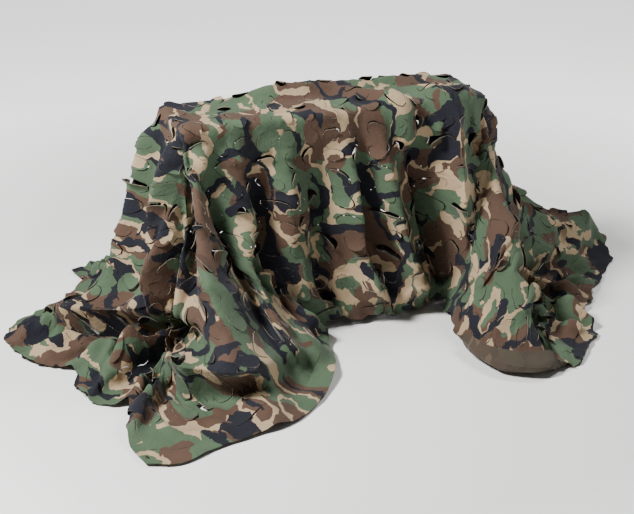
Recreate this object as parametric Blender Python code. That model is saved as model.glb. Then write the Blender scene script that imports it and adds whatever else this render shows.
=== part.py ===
"""Camouflage net draped over a plain narrow table.

Run in Blender 4.5 (metres, +Z up).  The net is one flat rectangle of cloth that has been
laid over the table: every point of the flat sheet is sent to its place in the draped shape
by drape(), so the solid is the true hanging form and not a box round it.

Flat sheet: s runs along the table, t across it, both measured from the table's centre.
Draped shape: x along the table, y to the back, z up from the floor.
"""
import bpy
import bmesh
import numpy as np
from mathutils.bvhtree import BVHTree

# ---- table ----------------------------------------------------------------------------
TABLE_LENGTH = 1.02         # to the outer side of the cloth's fold over the edge
TABLE_DEPTH = 0.27
TABLE_HEIGHT = 0.72
TABLE_INSET = 0.005         # the wood stays this far inside the hanging cloth
TOP_THICKNESS = 0.025
TOP_CORNER = 0.040          # plan radius of the top's corners
TOP_BEVEL = 0.006
LEG_SIDE = 0.040
LEG_INSET = 0.045           # from the wood's edge to the middle of the leg, along x
GAP = 0.0005                # between pieces that lie against each other

# ---- net ------------------------------------------------------------------------------
SHEET_LENGTH = 3.00
SHEET_WIDTH = 2.00
FRONT_OVERHANG = 0.73       # from the table's front edge to the hem
THICKNESS = 0.0025
REST = 0.0015               # height of the cloth's under side where it lies on the floor
HEM_WIDTH = 0.045           # the doubled border strip
SEAM_GAP = 0.001            # between the border strip and the cut-leaf field
CORNER_RADIUS = 0.02        # flat radius that the cloth turns about at a table corner

S_MIN, S_MAX = -SHEET_LENGTH / 2, SHEET_LENGTH / 2
T_MIN = -TABLE_DEPTH / 2 - FRONT_OVERHANG
T_MAX = T_MIN + SHEET_WIDTH
PERIMETER = 2 * (SHEET_LENGTH + SHEET_WIDTH)

# ---- eyelets --------------------------------------------------------------------------
EYELET_BORE = 0.0045        # radii
EYELET_BARREL = 0.0055
EYELET_FLANGE = 0.0095
EYELET_HOLE = 0.0062        # hole in the strip
FLANGE_THICKNESS = 0.0008
EYELET_HEIGHT = REST + THICKNESS + 0.0012
EYELET_EDGE = 0.0225        # centre to the two hems of its corner
EYELET_SIDES = 20
FLAT_RADIUS, FLAT_FADE = 0.05, 0.08     # the strip lies flat round an eyelet
EYELETS = {
    "eyelet_front_left": (S_MIN + EYELET_EDGE, T_MIN + EYELET_EDGE),
    "eyelet_front_right": (S_MAX - EYELET_EDGE, T_MIN + EYELET_EDGE),
    "eyelet_back_right": (S_MAX - EYELET_EDGE, T_MAX - EYELET_EDGE),
    "eyelet_back_left": (S_MIN + EYELET_EDGE, T_MAX - EYELET_EDGE),
}

# Where the hem lies on the floor.  Each side starts at one corner and ends at the next.
# Columns: distance along the side (m), x, y.
HEM_SIDES = {
    "front": [
        (0.00, -0.83, -0.77), (0.08, -0.76, -0.80), (0.23, -0.62, -0.76),
        (0.39, -0.48, -0.73), (0.52, -0.36, -0.70), (0.67, -0.24, -0.60),
        (0.86, -0.14, -0.44), (1.04, -0.10, -0.27), (1.16, -0.08, -0.19),
        (1.45, 0.12, -0.20), (1.65, 0.24, -0.19), (1.92, 0.38, -0.17),
        (2.02, 0.35, -0.26), (2.14, 0.31, -0.38), (2.34, 0.28, -0.55),
        (2.48, 0.31, -0.67), (2.62, 0.41, -0.74), (2.78, 0.50, -0.72),
        (3.00, 0.58, -0.70),
    ],
    "right": [
        (0.00, 0.58, -0.70), (0.09, 0.64, -0.64), (0.28, 0.75, -0.53),
        (0.44, 0.78, -0.42), (0.64, 0.88, -0.30), (0.79, 0.97, -0.20),
        (0.98, 1.12, -0.05), (1.11, 1.18, 0.06), (1.28, 1.22, 0.22),
        (1.42, 1.20, 0.35), (1.56, 1.13, 0.46), (1.77, 1.06, 0.65),
        (2.00, 0.93, 0.86),
    ],
    "back": [
        (0.00, 0.93, 0.86), (0.18, 0.81, 0.80), (0.38, 0.71, 0.72),
        (0.58, 0.62, 0.64), (0.80, 0.54, 0.57), (1.00, 0.45, 0.52),
        (1.17, 0.32, 0.55), (1.36, 0.16, 0.60), (1.56, 0.00, 0.53),
        (1.74, -0.16, 0.51), (1.93, -0.32, 0.56), (2.14, -0.44, 0.52),
        (2.38, -0.53, 0.56), (2.62, -0.61, 0.57), (2.85, -0.67, 0.62),
        (3.00, -0.74, 0.60),
    ],
    "left": [
        (0.00, -0.74, 0.60), (0.15, -0.73, 0.48), (0.335, -0.82, 0.37),
        (0.60, -0.99, 0.25), (0.725, -1.05, 0.17), (0.865, -1.06, 0.06),
        (1.10, -0.98, -0.11), (1.20, -0.92, -0.15), (1.43, -0.92, -0.32),
        (1.56, -0.89, -0.39), (1.68, -0.81, -0.45), (1.90, -0.85, -0.66),
        (2.00, -0.83, -0.77),
    ],
}

# Folds, each a soft ridge (or a groove where the height is negative) along a line drawn on
# the flat sheet.  Columns: name, line (s, t), half width, height at each point of the line.
FOLDS = [
    # hanging in front
    ("corner column", [(-.55, -.06), (-.76, -.10), (-.95, -.22), (-1.03, -.28)],
     .13, [.00, .05, .08, .03]),
    ("front left column", [(-.47, -.20), (-.64, -.39), (-.82, -.55), (-.96, -.72)],
     .10, [.00, .05, .08, .06]),
    ("corner groove", [(-.56, -.22), (-.72, -.33), (-.90, -.46)], .06, [.00, -.04, -.05]),
    ("left groove", [(-.43, -.26), (-.58, -.46), (-.70, -.62), (-.80, -.74)],
     .06, [.00, -.03, -.05, -.03]),
    ("rope fold", [(-.38, -.25), (-.45, -.50), (-.60, -.66), (-.70, -.76)],
     .05, [.01, .03, .035, .02]),
    ("front rib", [(.01, -.17), (.02, -.36), (.00, -.57), (.03, -.74)],
     .05, [.005, .02, .025, .03]),
    ("front fold", [(.12, -.15), (.15, -.45), (.19, -.67), (.24, -.80)],
     .07, [.015, .045, .05, .04]),
    ("deep groove", [(.27, -.21), (.28, -.43), (.33, -.69), (.39, -.78)],
     .055, [.00, -.05, -.055, -.02]),
    ("main bulge", [(.39, -.06), (.40, -.25), (.43, -.45), (.49, -.66), (.54, -.72)],
     .14, [.03, .055, .08, .08, .05]),
    ("bulge groove", [(.50, -.28), (.58, -.42), (.64, -.55)], .05, [-.015, -.03, -.02]),
    ("right column", [(.60, -.20), (.72, -.28), (.86, -.42), (.94, -.48)],
     .12, [.00, .04, .08, .06]),
    ("right rear column", [(.56, .00), (.70, .02), (.90, .02), (1.15, .03)],
     .15, [.00, .07, .10, .04]),
    ("left column", [(-.56, .12), (-.78, .10), (-1.00, .06)], .10, [.00, .03, .04]),
    # on the table
    ("far roll", [(-.42, .08), (-.28, .08), (-.15, .08), (.00, .08), (.12, .08),
                  (.24, .08), (.36, .08), (.46, .07)],
     .05, [.00, .015, .033, .028, .02, .026, .03, .01]),
    ("slant pleat", [(.09, .04), (.17, -.10), (.22, -.24)], .05, [.03, .04, .03]),
    # on the floor, left
    ("left swell", [(-1.40, .45), (-1.30, .29), (-1.18, .09), (-1.10, -.08)],
     .12, [.02, .06, .07, .05]),
    ("left crease", [(-1.31, .17), (-1.24, .00), (-1.10, -.30), (-1.00, -.55)],
     .06, [-.02, -.04, -.05, -.04]),
    ("left fold", [(-1.42, -.08), (-1.36, -.15), (-1.24, -.32), (-1.14, -.40)],
     .09, [.01, .06, .08, .04]),
    ("left low crease", [(-1.38, -.33), (-1.30, -.40)], .05, [-.02, -.03]),
    ("left low fold", [(-1.41, -.51), (-1.29, -.50), (-1.10, -.55), (-.98, -.62)],
     .08, [.01, .05, .07, .05]),
    ("lobe shoulder", [(-1.11, -.62), (-1.04, -.70), (-.95, -.76), (-.86, -.76)],
     .07, [.03, .06, .07, .04]),
    # on the floor, right
    ("bulge toe", [(.58, -.68), (.70, -.58), (.80, -.50)], .09, [.06, .08, .05]),
    ("right pleat", [(.90, -.55), (1.10, -.36), (1.35, -.22)], .08, [.03, .06, .03]),
    ("right low pleat", [(.78, -.68), (.98, -.62), (1.20, -.56), (1.40, -.50)],
     .08, [.02, .05, .06, .02]),
    ("right swell", [(1.23, .10), (1.36, .26), (1.41, .46)], .11, [.05, .07, .02]),
    ("right fold", [(1.15, -.06), (1.32, .02), (1.43, .05)], .08, [.05, .06, .02]),
    ("right small fold", [(1.22, -.24), (1.34, -.25), (1.43, -.28)], .07,
     [.03, .05, .01]),
    # behind
    ("back 1", [(-.42, .16), (-.44, .45), (-.46, .72), (-.45, .98)], .09,
     [.00, .06, .07, .03]),
    ("back 2", [(-.12, .16), (-.13, .45), (-.10, .72), (-.08, .98)], .11,
     [.00, .07, .08, .03]),
    ("back 3", [(.20, .16), (.20, .45), (.24, .72), (.24, .98)], .09,
     [.00, .05, .07, .03]),
    ("back 4", [(.45, .16), (.48, .42), (.54, .68), (.60, .95)], .10,
     [.00, .07, .08, .03]),
    ("back left corner", [(-.54, .18), (-.74, .42), (-.92, .68), (-1.08, .95)], .13,
     [.00, .06, .08, .03]),
    ("back right corner", [(.54, .18), (.78, .44), (.94, .66), (1.06, .86)], .13,
     [.00, .06, .07, .01]),
    ("left rear", [(-.56, .14), (-.88, .26), (-1.10, .42), (-1.35, .62)], .11,
     [.00, .05, .07, .02]),
    ("right rear", [(.56, .12), (.88, .22), (1.08, .42), (1.30, .74)], .11,
     [.00, .05, .07, .02]),
    ("back pleat left", [(-.80, .90), (-.50, .95), (-.20, .92)], .08, [.01, .05, .02]),
    ("back pleat right", [(.05, .96), (.40, .92), (.75, .98)], .08, [.02, .05, .01]),
]

# Grid of the faceted cloth: cells across each overhang and across the table top.
CELLS_LEFT, CELLS_LONG, CELLS_RIGHT = 17, 16, 17
CELLS_FRONT, CELLS_DEEP, CELLS_BACK = 12, 4, 15
MAX_EASING = 200            # rounds of smoothing where folds would cross
CROSSING_GAP = 0.0005

MATERIALS = {
    # name: colour, roughness, metallic
    "printed_cloth": ((0.105, 0.120, 0.075, 1.0), 0.90, 0.0),
    "hem_cloth": ((0.090, 0.085, 0.055, 1.0), 0.90, 0.0),
    "eyelet_metal": ((0.55, 0.53, 0.48, 1.0), 0.35, 1.0),
    "table_wood": ((0.42, 0.29, 0.17, 1.0), 0.60, 0.0),
}


def ease(u):
    """Smooth step from 0 to 1."""
    u = np.clip(u, 0, 1)
    return u * u * (3 - 2 * u)


def hem_distance(s, t):
    """Distance along the hem from the front left corner, for a point on the hem."""
    front, right, back = np.isclose(t, T_MIN), np.isclose(s, S_MAX), np.isclose(t, T_MAX)
    return np.where(front, s - S_MIN,
                    np.where(right, SHEET_LENGTH + t - T_MIN,
                             np.where(back, SHEET_LENGTH + SHEET_WIDTH + S_MAX - s,
                                      2 * SHEET_LENGTH + SHEET_WIDTH + T_MAX - t)))


def side_curve(u, rows):
    """Smooth curve through the rows of one side, with a corner free at each end."""
    rows = np.array(rows)
    at = rows[:, 0]
    gap = np.diff(at)
    i = np.clip(np.searchsorted(at, u, side="right") - 1, 0, len(at) - 2)
    v = (u - at[i]) / gap[i]
    out = []
    for column in (1, 2):
        value = rows[:, column]
        rise = np.diff(value) / gap
        inner = (rise[1:] * gap[:-1] + rise[:-1] * gap[1:]) / (gap[1:] + gap[:-1])
        slope = np.concatenate([rise[:1], inner, rise[-1:]])
        out.append((2 * v**3 - 3 * v**2 + 1) * value[i]
                   + (v**3 - 2 * v**2 + v) * gap[i] * slope[i]
                   + (3 * v**2 - 2 * v**3) * value[i + 1]
                   + (v**3 - v**2) * gap[i] * slope[i + 1])
    return out


def hem_plan(w):
    """Where the hem lies, from the distance along it."""
    w = np.mod(w, PERIMETER)
    x, y = np.zeros_like(w), np.zeros_like(w)
    start = 0.0
    for name, length in (("front", SHEET_LENGTH), ("right", SHEET_WIDTH),
                         ("back", SHEET_LENGTH), ("left", SHEET_WIDTH)):
        here = (w >= start) & (w <= start + length)
        sx, sy = side_curve(np.clip(w - start, 0, length), HEM_SIDES[name])
        x, y = np.where(here, sx, x), np.where(here, sy, y)
        start += length
    return x, y


def hang(s, t):
    """The drape without its folds: each straight line of the flat sheet that leaves the
    table's edge hangs down, lands, and runs over the floor to its place on the hem.

    The line leaves the edge point e and is `full` long to the hem, which lies `reach` away
    in plan.  It lands `foot` out, where the hanging slant and the run on the floor together
    use up its length:  hypot(foot, height) + reach - foot = full.
    """
    half_x, half_y = TABLE_LENGTH / 2 - CORNER_RADIUS, TABLE_DEPTH / 2 - CORNER_RADIUS
    near_x, near_y = np.clip(s, -half_x, half_x), np.clip(t, -half_y, half_y)
    away = np.maximum(np.hypot(s - near_x, t - near_y), 1e-9)
    nx, ny = (s - near_x) / away, (t - near_y) / away
    ex, ey = near_x + CORNER_RADIUS * nx, near_y + CORNER_RADIUS * ny
    along = away - CORNER_RADIUS
    with np.errstate(divide="ignore", invalid="ignore"):
        to_s = np.where(nx > 1e-9, (S_MAX - ex) / nx,
                        np.where(nx < -1e-9, (S_MIN - ex) / nx, 1e9))
        to_t = np.where(ny > 1e-9, (T_MAX - ey) / ny,
                        np.where(ny < -1e-9, (T_MIN - ey) / ny, 1e9))
    full = np.minimum(to_s, to_t)
    hem_s = np.where(to_s <= to_t, np.where(nx > 0, S_MAX, S_MIN), ex + nx * full)
    hem_t = np.where(to_t < to_s, np.where(ny > 0, T_MAX, T_MIN), ey + ny * full)
    w = hem_distance(hem_s, hem_t)
    qx, qy = hem_plan(w)
    reach = np.maximum(np.hypot(qx - ex, qy - ey), 1e-6)
    ux, uy = (qx - ex) / reach, (qy - ey) / reach
    spare = np.clip(full - reach, 0.05, None)
    foot = (TABLE_HEIGHT**2 - spare**2) / (2 * spare)
    foot = np.clip(foot, np.minimum(0.03, reach), reach)
    drop = np.minimum(np.hypot(foot, TABLE_HEIGHT), full)
    run = np.maximum(full - drop, 1e-3)
    down = along / drop
    # on the floor the cloth keeps its size at the hem and is pushed together nearer the foot
    share = np.minimum((reach - foot) / run, 1.0)
    left = np.clip(full - along, 0, run)
    from_hem = share * left + (1 - share) * 0.08 * (1 - np.exp(-left / 0.08)) * (1 - left / run)
    out = np.where(down < 1, foot * np.clip(down, 0, 1) ** 2, reach - from_hem)
    fall = TABLE_HEIGHT * (1 - down)
    toe = 0.05
    z = np.where(fall > toe, fall, np.where(fall < -toe, 0, (fall + toe) ** 2 / (4 * toe)))
    on_top = along < 0
    x = np.where(on_top, s, ex + ux * out)
    y = np.where(on_top, t, ey + uy * out)
    z = np.where(on_top, TABLE_HEIGHT, z)
    # a fold stands out level while the cloth hangs, and straight up on table and floor
    ox, oy = nx + 0.35 * ux, ny + 0.35 * uy
    size = np.maximum(np.hypot(ox, oy), 1e-6)
    lift = np.maximum(ease((down - 0.75) / 0.35), 1 - ease((along + 0.02) / 0.06))
    level, upright = np.cos(lift * np.pi / 2), np.sin(lift * np.pi / 2)
    side = np.stack([level * ox / size, level * oy / size, upright], -1)
    return np.stack([x, y, z], -1), side


def fold_height(s, t):
    """Sum of the folds: each is a raised cosine across its line."""
    total = np.zeros_like(s)
    for _, line, half, heights in FOLDS:
        nearest = np.full(s.shape, 9.0)
        height = np.zeros_like(s)
        for (a, b, ha, hb) in zip(line[:-1], line[1:], heights[:-1], heights[1:]):
            ds, dt = b[0] - a[0], b[1] - a[1]
            u = np.clip(((s - a[0]) * ds + (t - a[1]) * dt) / (ds * ds + dt * dt), 0, 1)
            away = np.hypot(s - a[0] - u * ds, t - a[1] - u * dt)
            closer = away < nearest
            nearest = np.where(closer, away, nearest)
            height = np.where(closer, ha + (hb - ha) * u, height)
        total += height * (0.5 + 0.5 * np.cos(np.pi * np.clip(nearest / half, 0, 1)))
    return total


def drape(s, t):
    """Place of each point of the flat sheet (its under side) in the draped shape."""
    s, t = np.asarray(s, float), np.asarray(t, float)
    point, side = hang(s, t)
    point = point + side * fold_height(s, t)[..., None]
    point[..., 2] = np.maximum(point[..., 2], REST)
    for es, et in EYELETS.values():
        flat = 1 - ease((np.hypot(s - es, t - et) - FLAT_RADIUS) / FLAT_FADE)
        point[..., 2] += (REST - point[..., 2]) * flat
    return point


def make_material(name):
    colour, roughness, metallic = MATERIALS[name]
    material = bpy.data.materials.new(name)
    material.use_nodes = True
    shader = material.node_tree.nodes["Principled BSDF"]
    shader.inputs["Base Color"].default_value = colour
    shader.inputs["Roughness"].default_value = roughness
    shader.inputs["Metallic"].default_value = metallic
    return material


def add_object(name, mesh, material):
    mesh.materials.append(material)
    obj = bpy.data.objects.new(name, mesh)
    bpy.context.collection.objects.link(obj)
    return obj


def thick_cells(name, inner, outer, cells, material):
    """Closed solid from grid cells: under side, upper side and a wall round every rim."""
    rows, columns = inner.shape[:2]
    quads = [(j * columns + i, j * columns + i + 1, (j + 1) * columns + i + 1,
              (j + 1) * columns + i) for j, i in cells]
    count = rows * columns
    halves = [(q[0], q[k], q[k + 1]) for q in quads for k in (1, 2)]
    faces = [h[::-1] for h in halves] + [tuple(v + count for v in h) for h in halves]
    edges = {(q[k], q[(k + 1) % 4]) for q in quads for k in range(4)}
    faces += [(a, b, b + count, a + count) for a, b in sorted(edges) if (b, a) not in edges]
    used = sorted({v for f in faces for v in f})
    place = {v: k for k, v in enumerate(used)}
    points = np.concatenate([inner.reshape(-1, 3), outer.reshape(-1, 3)])
    mesh = bpy.data.meshes.new(name)
    mesh.from_pydata(points[used].tolist(), [], [[place[v] for v in f] for f in faces])
    mesh.shade_smooth()
    return add_object(name, mesh, material)


def grid_normals(point):
    """Unit normal at each grid point: the mean of the cells round it."""
    cell = np.cross(point[:-1, 1:] - point[:-1, :-1] + point[1:, 1:] - point[1:, :-1],
                    point[1:, :-1] - point[:-1, :-1] + point[1:, 1:] - point[:-1, 1:])
    cell /= np.maximum(np.linalg.norm(cell, axis=-1, keepdims=True), 1e-12)
    normal = np.zeros_like(point)
    for j in (0, 1):
        for i in (0, 1):
            normal[j:j + cell.shape[0], i:i + cell.shape[1]] += cell
    return normal / np.linalg.norm(normal, axis=-1, keepdims=True)


def grid_lines(low, high, half, cells_low, cells_mid, cells_high):
    """Lines of the flat grid: hem, strip, field, and one at each turn of the table edge."""
    turn = half - CORNER_RADIUS
    inner_low, inner_high = low + HEM_WIDTH + SEAM_GAP, high - HEM_WIDTH - SEAM_GAP
    return np.concatenate([
        [low, low + HEM_WIDTH],
        np.linspace(inner_low, -half, cells_low + 1),
        np.linspace(-turn, turn, cells_mid + 1),
        np.linspace(half, inner_high, cells_high + 1),
        [high - HEM_WIDTH, high],
    ])


def ease_crossings(inner):
    """Where neighbouring folds would pass through each other, pull the cloth smooth: every
    grid point of a crossing, and its neighbours, moves to the middle of the points round
    it, again and again until nothing crosses.  The hem and the table top stay as they are.
    """
    rows, columns = inner.shape[:2]
    index = np.arange(rows * columns).reshape(rows, columns)
    quads = np.stack([index[:-1, :-1], index[:-1, 1:], index[1:, 1:], index[1:, :-1]],
                     -1).reshape(-1, 4)
    tris = np.concatenate([quads[:, [0, 1, 2]], quads[:, [0, 2, 3]]])
    tris = np.concatenate([tris, tris + rows * columns])
    held = inner[..., 2] > TABLE_HEIGHT - 0.01
    held[:3], held[-3:], held[:, :3], held[:, -3:] = True, True, True, True
    for _ in range(MAX_EASING):
        outer = inner + grid_normals(inner) * (THICKNESS + CROSSING_GAP)
        points = np.concatenate([inner.reshape(-1, 3), outer.reshape(-1, 3)])
        tree = BVHTree.FromPolygons(points.tolist(), tris.tolist())
        pairs = np.array([(a, b) for a, b in tree.overlap(tree) if a < b], int)
        pairs = pairs.reshape(-1, 2)
        apart = ~(tris[pairs[:, 0], :, None] == tris[pairs[:, 1], None, :]).any((1, 2))
        if not apart.any():
            break
        crossing = np.zeros(2 * rows * columns, bool)
        crossing[tris[pairs[apart]].ravel()] = True
        near = (crossing[:rows * columns] | crossing[rows * columns:]).reshape(rows, columns)
        wide = near.copy()
        wide[1:] |= near[:-1]
        wide[:-1] |= near[1:]
        wide[:, 1:] |= near[:, :-1]
        wide[:, :-1] |= near[:, 1:]
        middle = inner.copy()
        middle[1:-1, 1:-1] = (inner[:-2, 1:-1] + inner[2:, 1:-1] + inner[1:-1, :-2]
                              + inner[1:-1, 2:]) / 4
        inner = np.where((wide & ~held)[..., None], middle, inner)
    return inner


def build_net(materials):
    s_lines = grid_lines(S_MIN, S_MAX, TABLE_LENGTH / 2, CELLS_LEFT, CELLS_LONG, CELLS_RIGHT)
    t_lines = grid_lines(T_MIN, T_MAX, TABLE_DEPTH / 2, CELLS_FRONT, CELLS_DEEP, CELLS_BACK)
    inner = ease_crossings(drape(*np.meshgrid(s_lines, t_lines)))
    outer = inner + grid_normals(inner) * THICKNESS
    rows, columns = inner.shape[:2]
    field = [(j, i) for j in range(2, rows - 3) for i in range(2, columns - 3)]
    thick_cells("net_field", inner, outer, field, materials["printed_cloth"])

    # the border strip leaves out the field's outermost lines, which lie a seam gap away
    keep_i = [i for i in range(columns) if i not in (2, columns - 3)]
    keep_j = [j for j in range(rows) if j not in (2, rows - 3)]
    inner, outer = inner[np.ix_(keep_j, keep_i)], outer[np.ix_(keep_j, keep_i)]
    rows, columns = inner.shape[:2]
    ring = [(j, i) for j in range(rows - 1) for i in range(columns - 1)
            if j in (0, rows - 2) or i in (0, columns - 2)]
    strip = thick_cells("hem_strip", inner, outer, ring, materials["hem_cloth"])
    for name, (s, t) in EYELETS.items():
        x, y, _ = drape(np.array([s]), np.array([t]))[0]
        build_eyelet(name, x, y, materials["eyelet_metal"])
        cut_hole(strip, name, x, y)


def cut_hole(strip, name, x, y):
    """Round hole through the strip for one eyelet."""
    mesh = bpy.data.meshes.new("hole_" + name)
    bm = bmesh.new()
    bmesh.ops.create_cone(bm, cap_ends=True, segments=EYELET_SIDES, radius1=EYELET_HOLE,
                          radius2=EYELET_HOLE, depth=0.03)
    bm.to_mesh(mesh)
    bm.free()
    cutter = bpy.data.objects.new("hole_" + name, mesh)
    bpy.context.collection.objects.link(cutter)
    cutter.location = (x, y, REST)
    cutter.hide_render = True
    cutter.display_type = "WIRE"
    cut = strip.modifiers.new("hole_" + name, "BOOLEAN")
    cut.operation = "DIFFERENCE"
    cut.solver = "EXACT"
    cut.object = cutter


def build_eyelet(name, x, y, material):
    """Turned eyelet: a barrel through the strip with a flange on each side."""
    top = EYELET_HEIGHT
    profile = [(EYELET_BORE, 0), (EYELET_FLANGE, 0), (EYELET_FLANGE, FLANGE_THICKNESS),
               (EYELET_BARREL, FLANGE_THICKNESS), (EYELET_BARREL, top - FLANGE_THICKNESS),
               (EYELET_FLANGE, top - FLANGE_THICKNESS), (EYELET_FLANGE, top),
               (EYELET_BORE, top)]
    points, faces = [], []
    for k in range(EYELET_SIDES):
        angle = 2 * np.pi * k / EYELET_SIDES
        points += [(r * np.cos(angle), r * np.sin(angle), z) for r, z in profile]
    n = len(profile)
    for k in range(EYELET_SIDES):
        nxt = (k + 1) % EYELET_SIDES
        for m in range(n):
            m2 = (m + 1) % n
            faces.append((k * n + m, nxt * n + m, nxt * n + m2, k * n + m2))
    mesh = bpy.data.meshes.new(name)
    mesh.from_pydata(points, [], faces)
    obj = add_object(name, mesh, material)
    obj.location = (x, y, 0)


def build_table(material):
    """Plain top on four square legs, all inside the cloth."""
    half_x, half_y = TABLE_LENGTH / 2 - TABLE_INSET, TABLE_DEPTH / 2 - TABLE_INSET
    top_z = TABLE_HEIGHT - GAP
    bm = bmesh.new()
    bmesh.ops.create_cube(bm, size=1.0)
    for v in bm.verts:
        v.co = (v.co.x * 2 * half_x, v.co.y * 2 * half_y, v.co.z * TOP_THICKNESS)
    upright = [e for e in bm.edges if abs(e.verts[0].co.z - e.verts[1].co.z) > 1e-6]
    bmesh.ops.bevel(bm, geom=upright, offset=TOP_CORNER, segments=6, affect="EDGES",
                    profile=0.5)
    rim = [e for e in bm.edges if all(v.co.z > TOP_THICKNESS / 2 - 1e-6 for v in e.verts)]
    bmesh.ops.bevel(bm, geom=rim, offset=TOP_BEVEL, segments=2, affect="EDGES", profile=0.5)
    mesh = bpy.data.meshes.new("table_top")
    bm.to_mesh(mesh)
    bm.free()
    obj = add_object("table_top", mesh, material)
    obj.location = (0, 0, top_z - TOP_THICKNESS / 2)

    leg_top = top_z - TOP_THICKNESS - GAP
    leg_x, leg_y = half_x - LEG_INSET, half_y - LEG_INSET + 0.01
    for name, sx, sy in (("front_left", -1, -1), ("front_right", 1, -1),
                         ("back_left", -1, 1), ("back_right", 1, 1)):
        mesh = bpy.data.meshes.new("table_leg_" + name)
        bm = bmesh.new()
        bmesh.ops.create_cube(bm, size=1.0)
        for v in bm.verts:
            v.co = (v.co.x * LEG_SIDE, v.co.y * LEG_SIDE, (v.co.z + 0.5) * leg_top)
        bm.to_mesh(mesh)
        bm.free()
        leg = add_object("table_leg_" + name, mesh, material)
        leg.location = (sx * leg_x, sy * leg_y, 0)


def centre_on_floor():
    """Move everything so that the middle of the whole outline is over the origin."""
    solids = [o for o in bpy.data.objects if o.type == "MESH" and not o.hide_render]
    points = np.array([o.matrix_basis @ v.co for o in solids for v in o.data.vertices])
    middle = (points.min(axis=0) + points.max(axis=0)) / 2
    for obj in bpy.data.objects:
        obj.location.x -= middle[0]
        obj.location.y -= middle[1]


def main():
    for obj in list(bpy.data.objects):
        bpy.data.objects.remove(obj)
    materials = {name: make_material(name) for name in MATERIALS}
    build_net(materials)
    build_table(materials["table_wood"])
    centre_on_floor()


main()
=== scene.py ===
# %% [markdown]
# # A camouflage net over a narrow table
# A net of this kind is one rectangle of thin printed cloth.  Rows of curved cuts turn it
# into hundreds of small leaves that stand off the cloth, and a plain border with an eyelet
# in each corner is left uncut.  Here it is thrown over a table and trails on the floor.
# The shape is worked out in three steps: the flat sheet is laid over the table by a
# formula, a cloth simulation lets it settle, and then the leaves are cut into it.

# %% Load the frame
import math

import bpy
import numpy as np
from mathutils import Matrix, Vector


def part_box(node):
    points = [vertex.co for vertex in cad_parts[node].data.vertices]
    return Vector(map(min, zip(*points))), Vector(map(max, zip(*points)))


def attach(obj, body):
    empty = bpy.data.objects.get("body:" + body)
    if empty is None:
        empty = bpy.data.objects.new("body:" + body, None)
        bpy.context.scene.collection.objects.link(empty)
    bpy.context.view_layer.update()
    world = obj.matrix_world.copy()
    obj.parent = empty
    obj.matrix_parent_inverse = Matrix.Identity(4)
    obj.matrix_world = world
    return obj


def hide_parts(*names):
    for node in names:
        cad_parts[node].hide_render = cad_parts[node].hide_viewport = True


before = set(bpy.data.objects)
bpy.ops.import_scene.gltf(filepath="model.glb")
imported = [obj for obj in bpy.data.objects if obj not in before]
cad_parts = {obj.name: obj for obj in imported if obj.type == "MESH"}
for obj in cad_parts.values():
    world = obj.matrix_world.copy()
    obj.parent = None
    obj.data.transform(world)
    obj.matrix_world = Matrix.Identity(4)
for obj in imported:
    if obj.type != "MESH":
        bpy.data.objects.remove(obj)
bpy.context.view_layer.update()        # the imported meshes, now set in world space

TOP_LOW, TOP_HIGH = (np.array(corner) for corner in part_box("table_top"))
TABLE_MIDDLE = np.append(((TOP_LOW + TOP_HIGH) / 2)[:2], 0.0)

# %% [markdown]
# ## The flat sheet and the table
# Everything starts from the cut size of the cloth.  Lengths are in metres: s runs along the
# table and t across it, both from the table's middle, so (s, t) is a place on the flat
# sheet and (x, y, z) is where it ends up.

# %% Sizes
TABLE_LENGTH, TABLE_DEPTH, TABLE_HEIGHT = 1.02, 0.27, 0.72
SHEET_LENGTH, SHEET_WIDTH = 3.00, 2.00
FRONT_OVERHANG = 0.73
CORNER_RADIUS = 0.02        # flat radius that the cloth turns about at a table corner
REST = 0.0015               # height of the cloth's under side on the floor
HEM_WIDTH = 0.045
S_MIN, S_MAX = -SHEET_LENGTH / 2, SHEET_LENGTH / 2
T_MIN = -TABLE_DEPTH / 2 - FRONT_OVERHANG
T_MAX = T_MIN + SHEET_WIDTH
PERIMETER = 2 * (SHEET_LENGTH + SHEET_WIDTH)
CORE_S, CORE_T = TABLE_LENGTH / 2 - CORNER_RADIUS, TABLE_DEPTH / 2 - CORNER_RADIUS
EYELET_EDGE = 0.0225        # eyelet's middle to the two hems of its corner
EYELETS = [(S_MIN + EYELET_EDGE, T_MIN + EYELET_EDGE), (S_MAX - EYELET_EDGE, T_MIN + EYELET_EDGE),
           (S_MAX - EYELET_EDGE, T_MAX - EYELET_EDGE), (S_MIN + EYELET_EDGE, T_MAX - EYELET_EDGE)]
FLAT_RADIUS, FLAT_FADE = 0.05, 0.08     # the border lies flat round an eyelet
print("sheet", SHEET_LENGTH, "x", SHEET_WIDTH, "m, t from", T_MIN, "to", T_MAX)

# %% [markdown]
# ## Where the hem lies and where the folds run
# The hem's line on the floor and the lines of the main folds are the same tables as the
# solid model's, so that the soft cloth stays on its solid.

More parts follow.
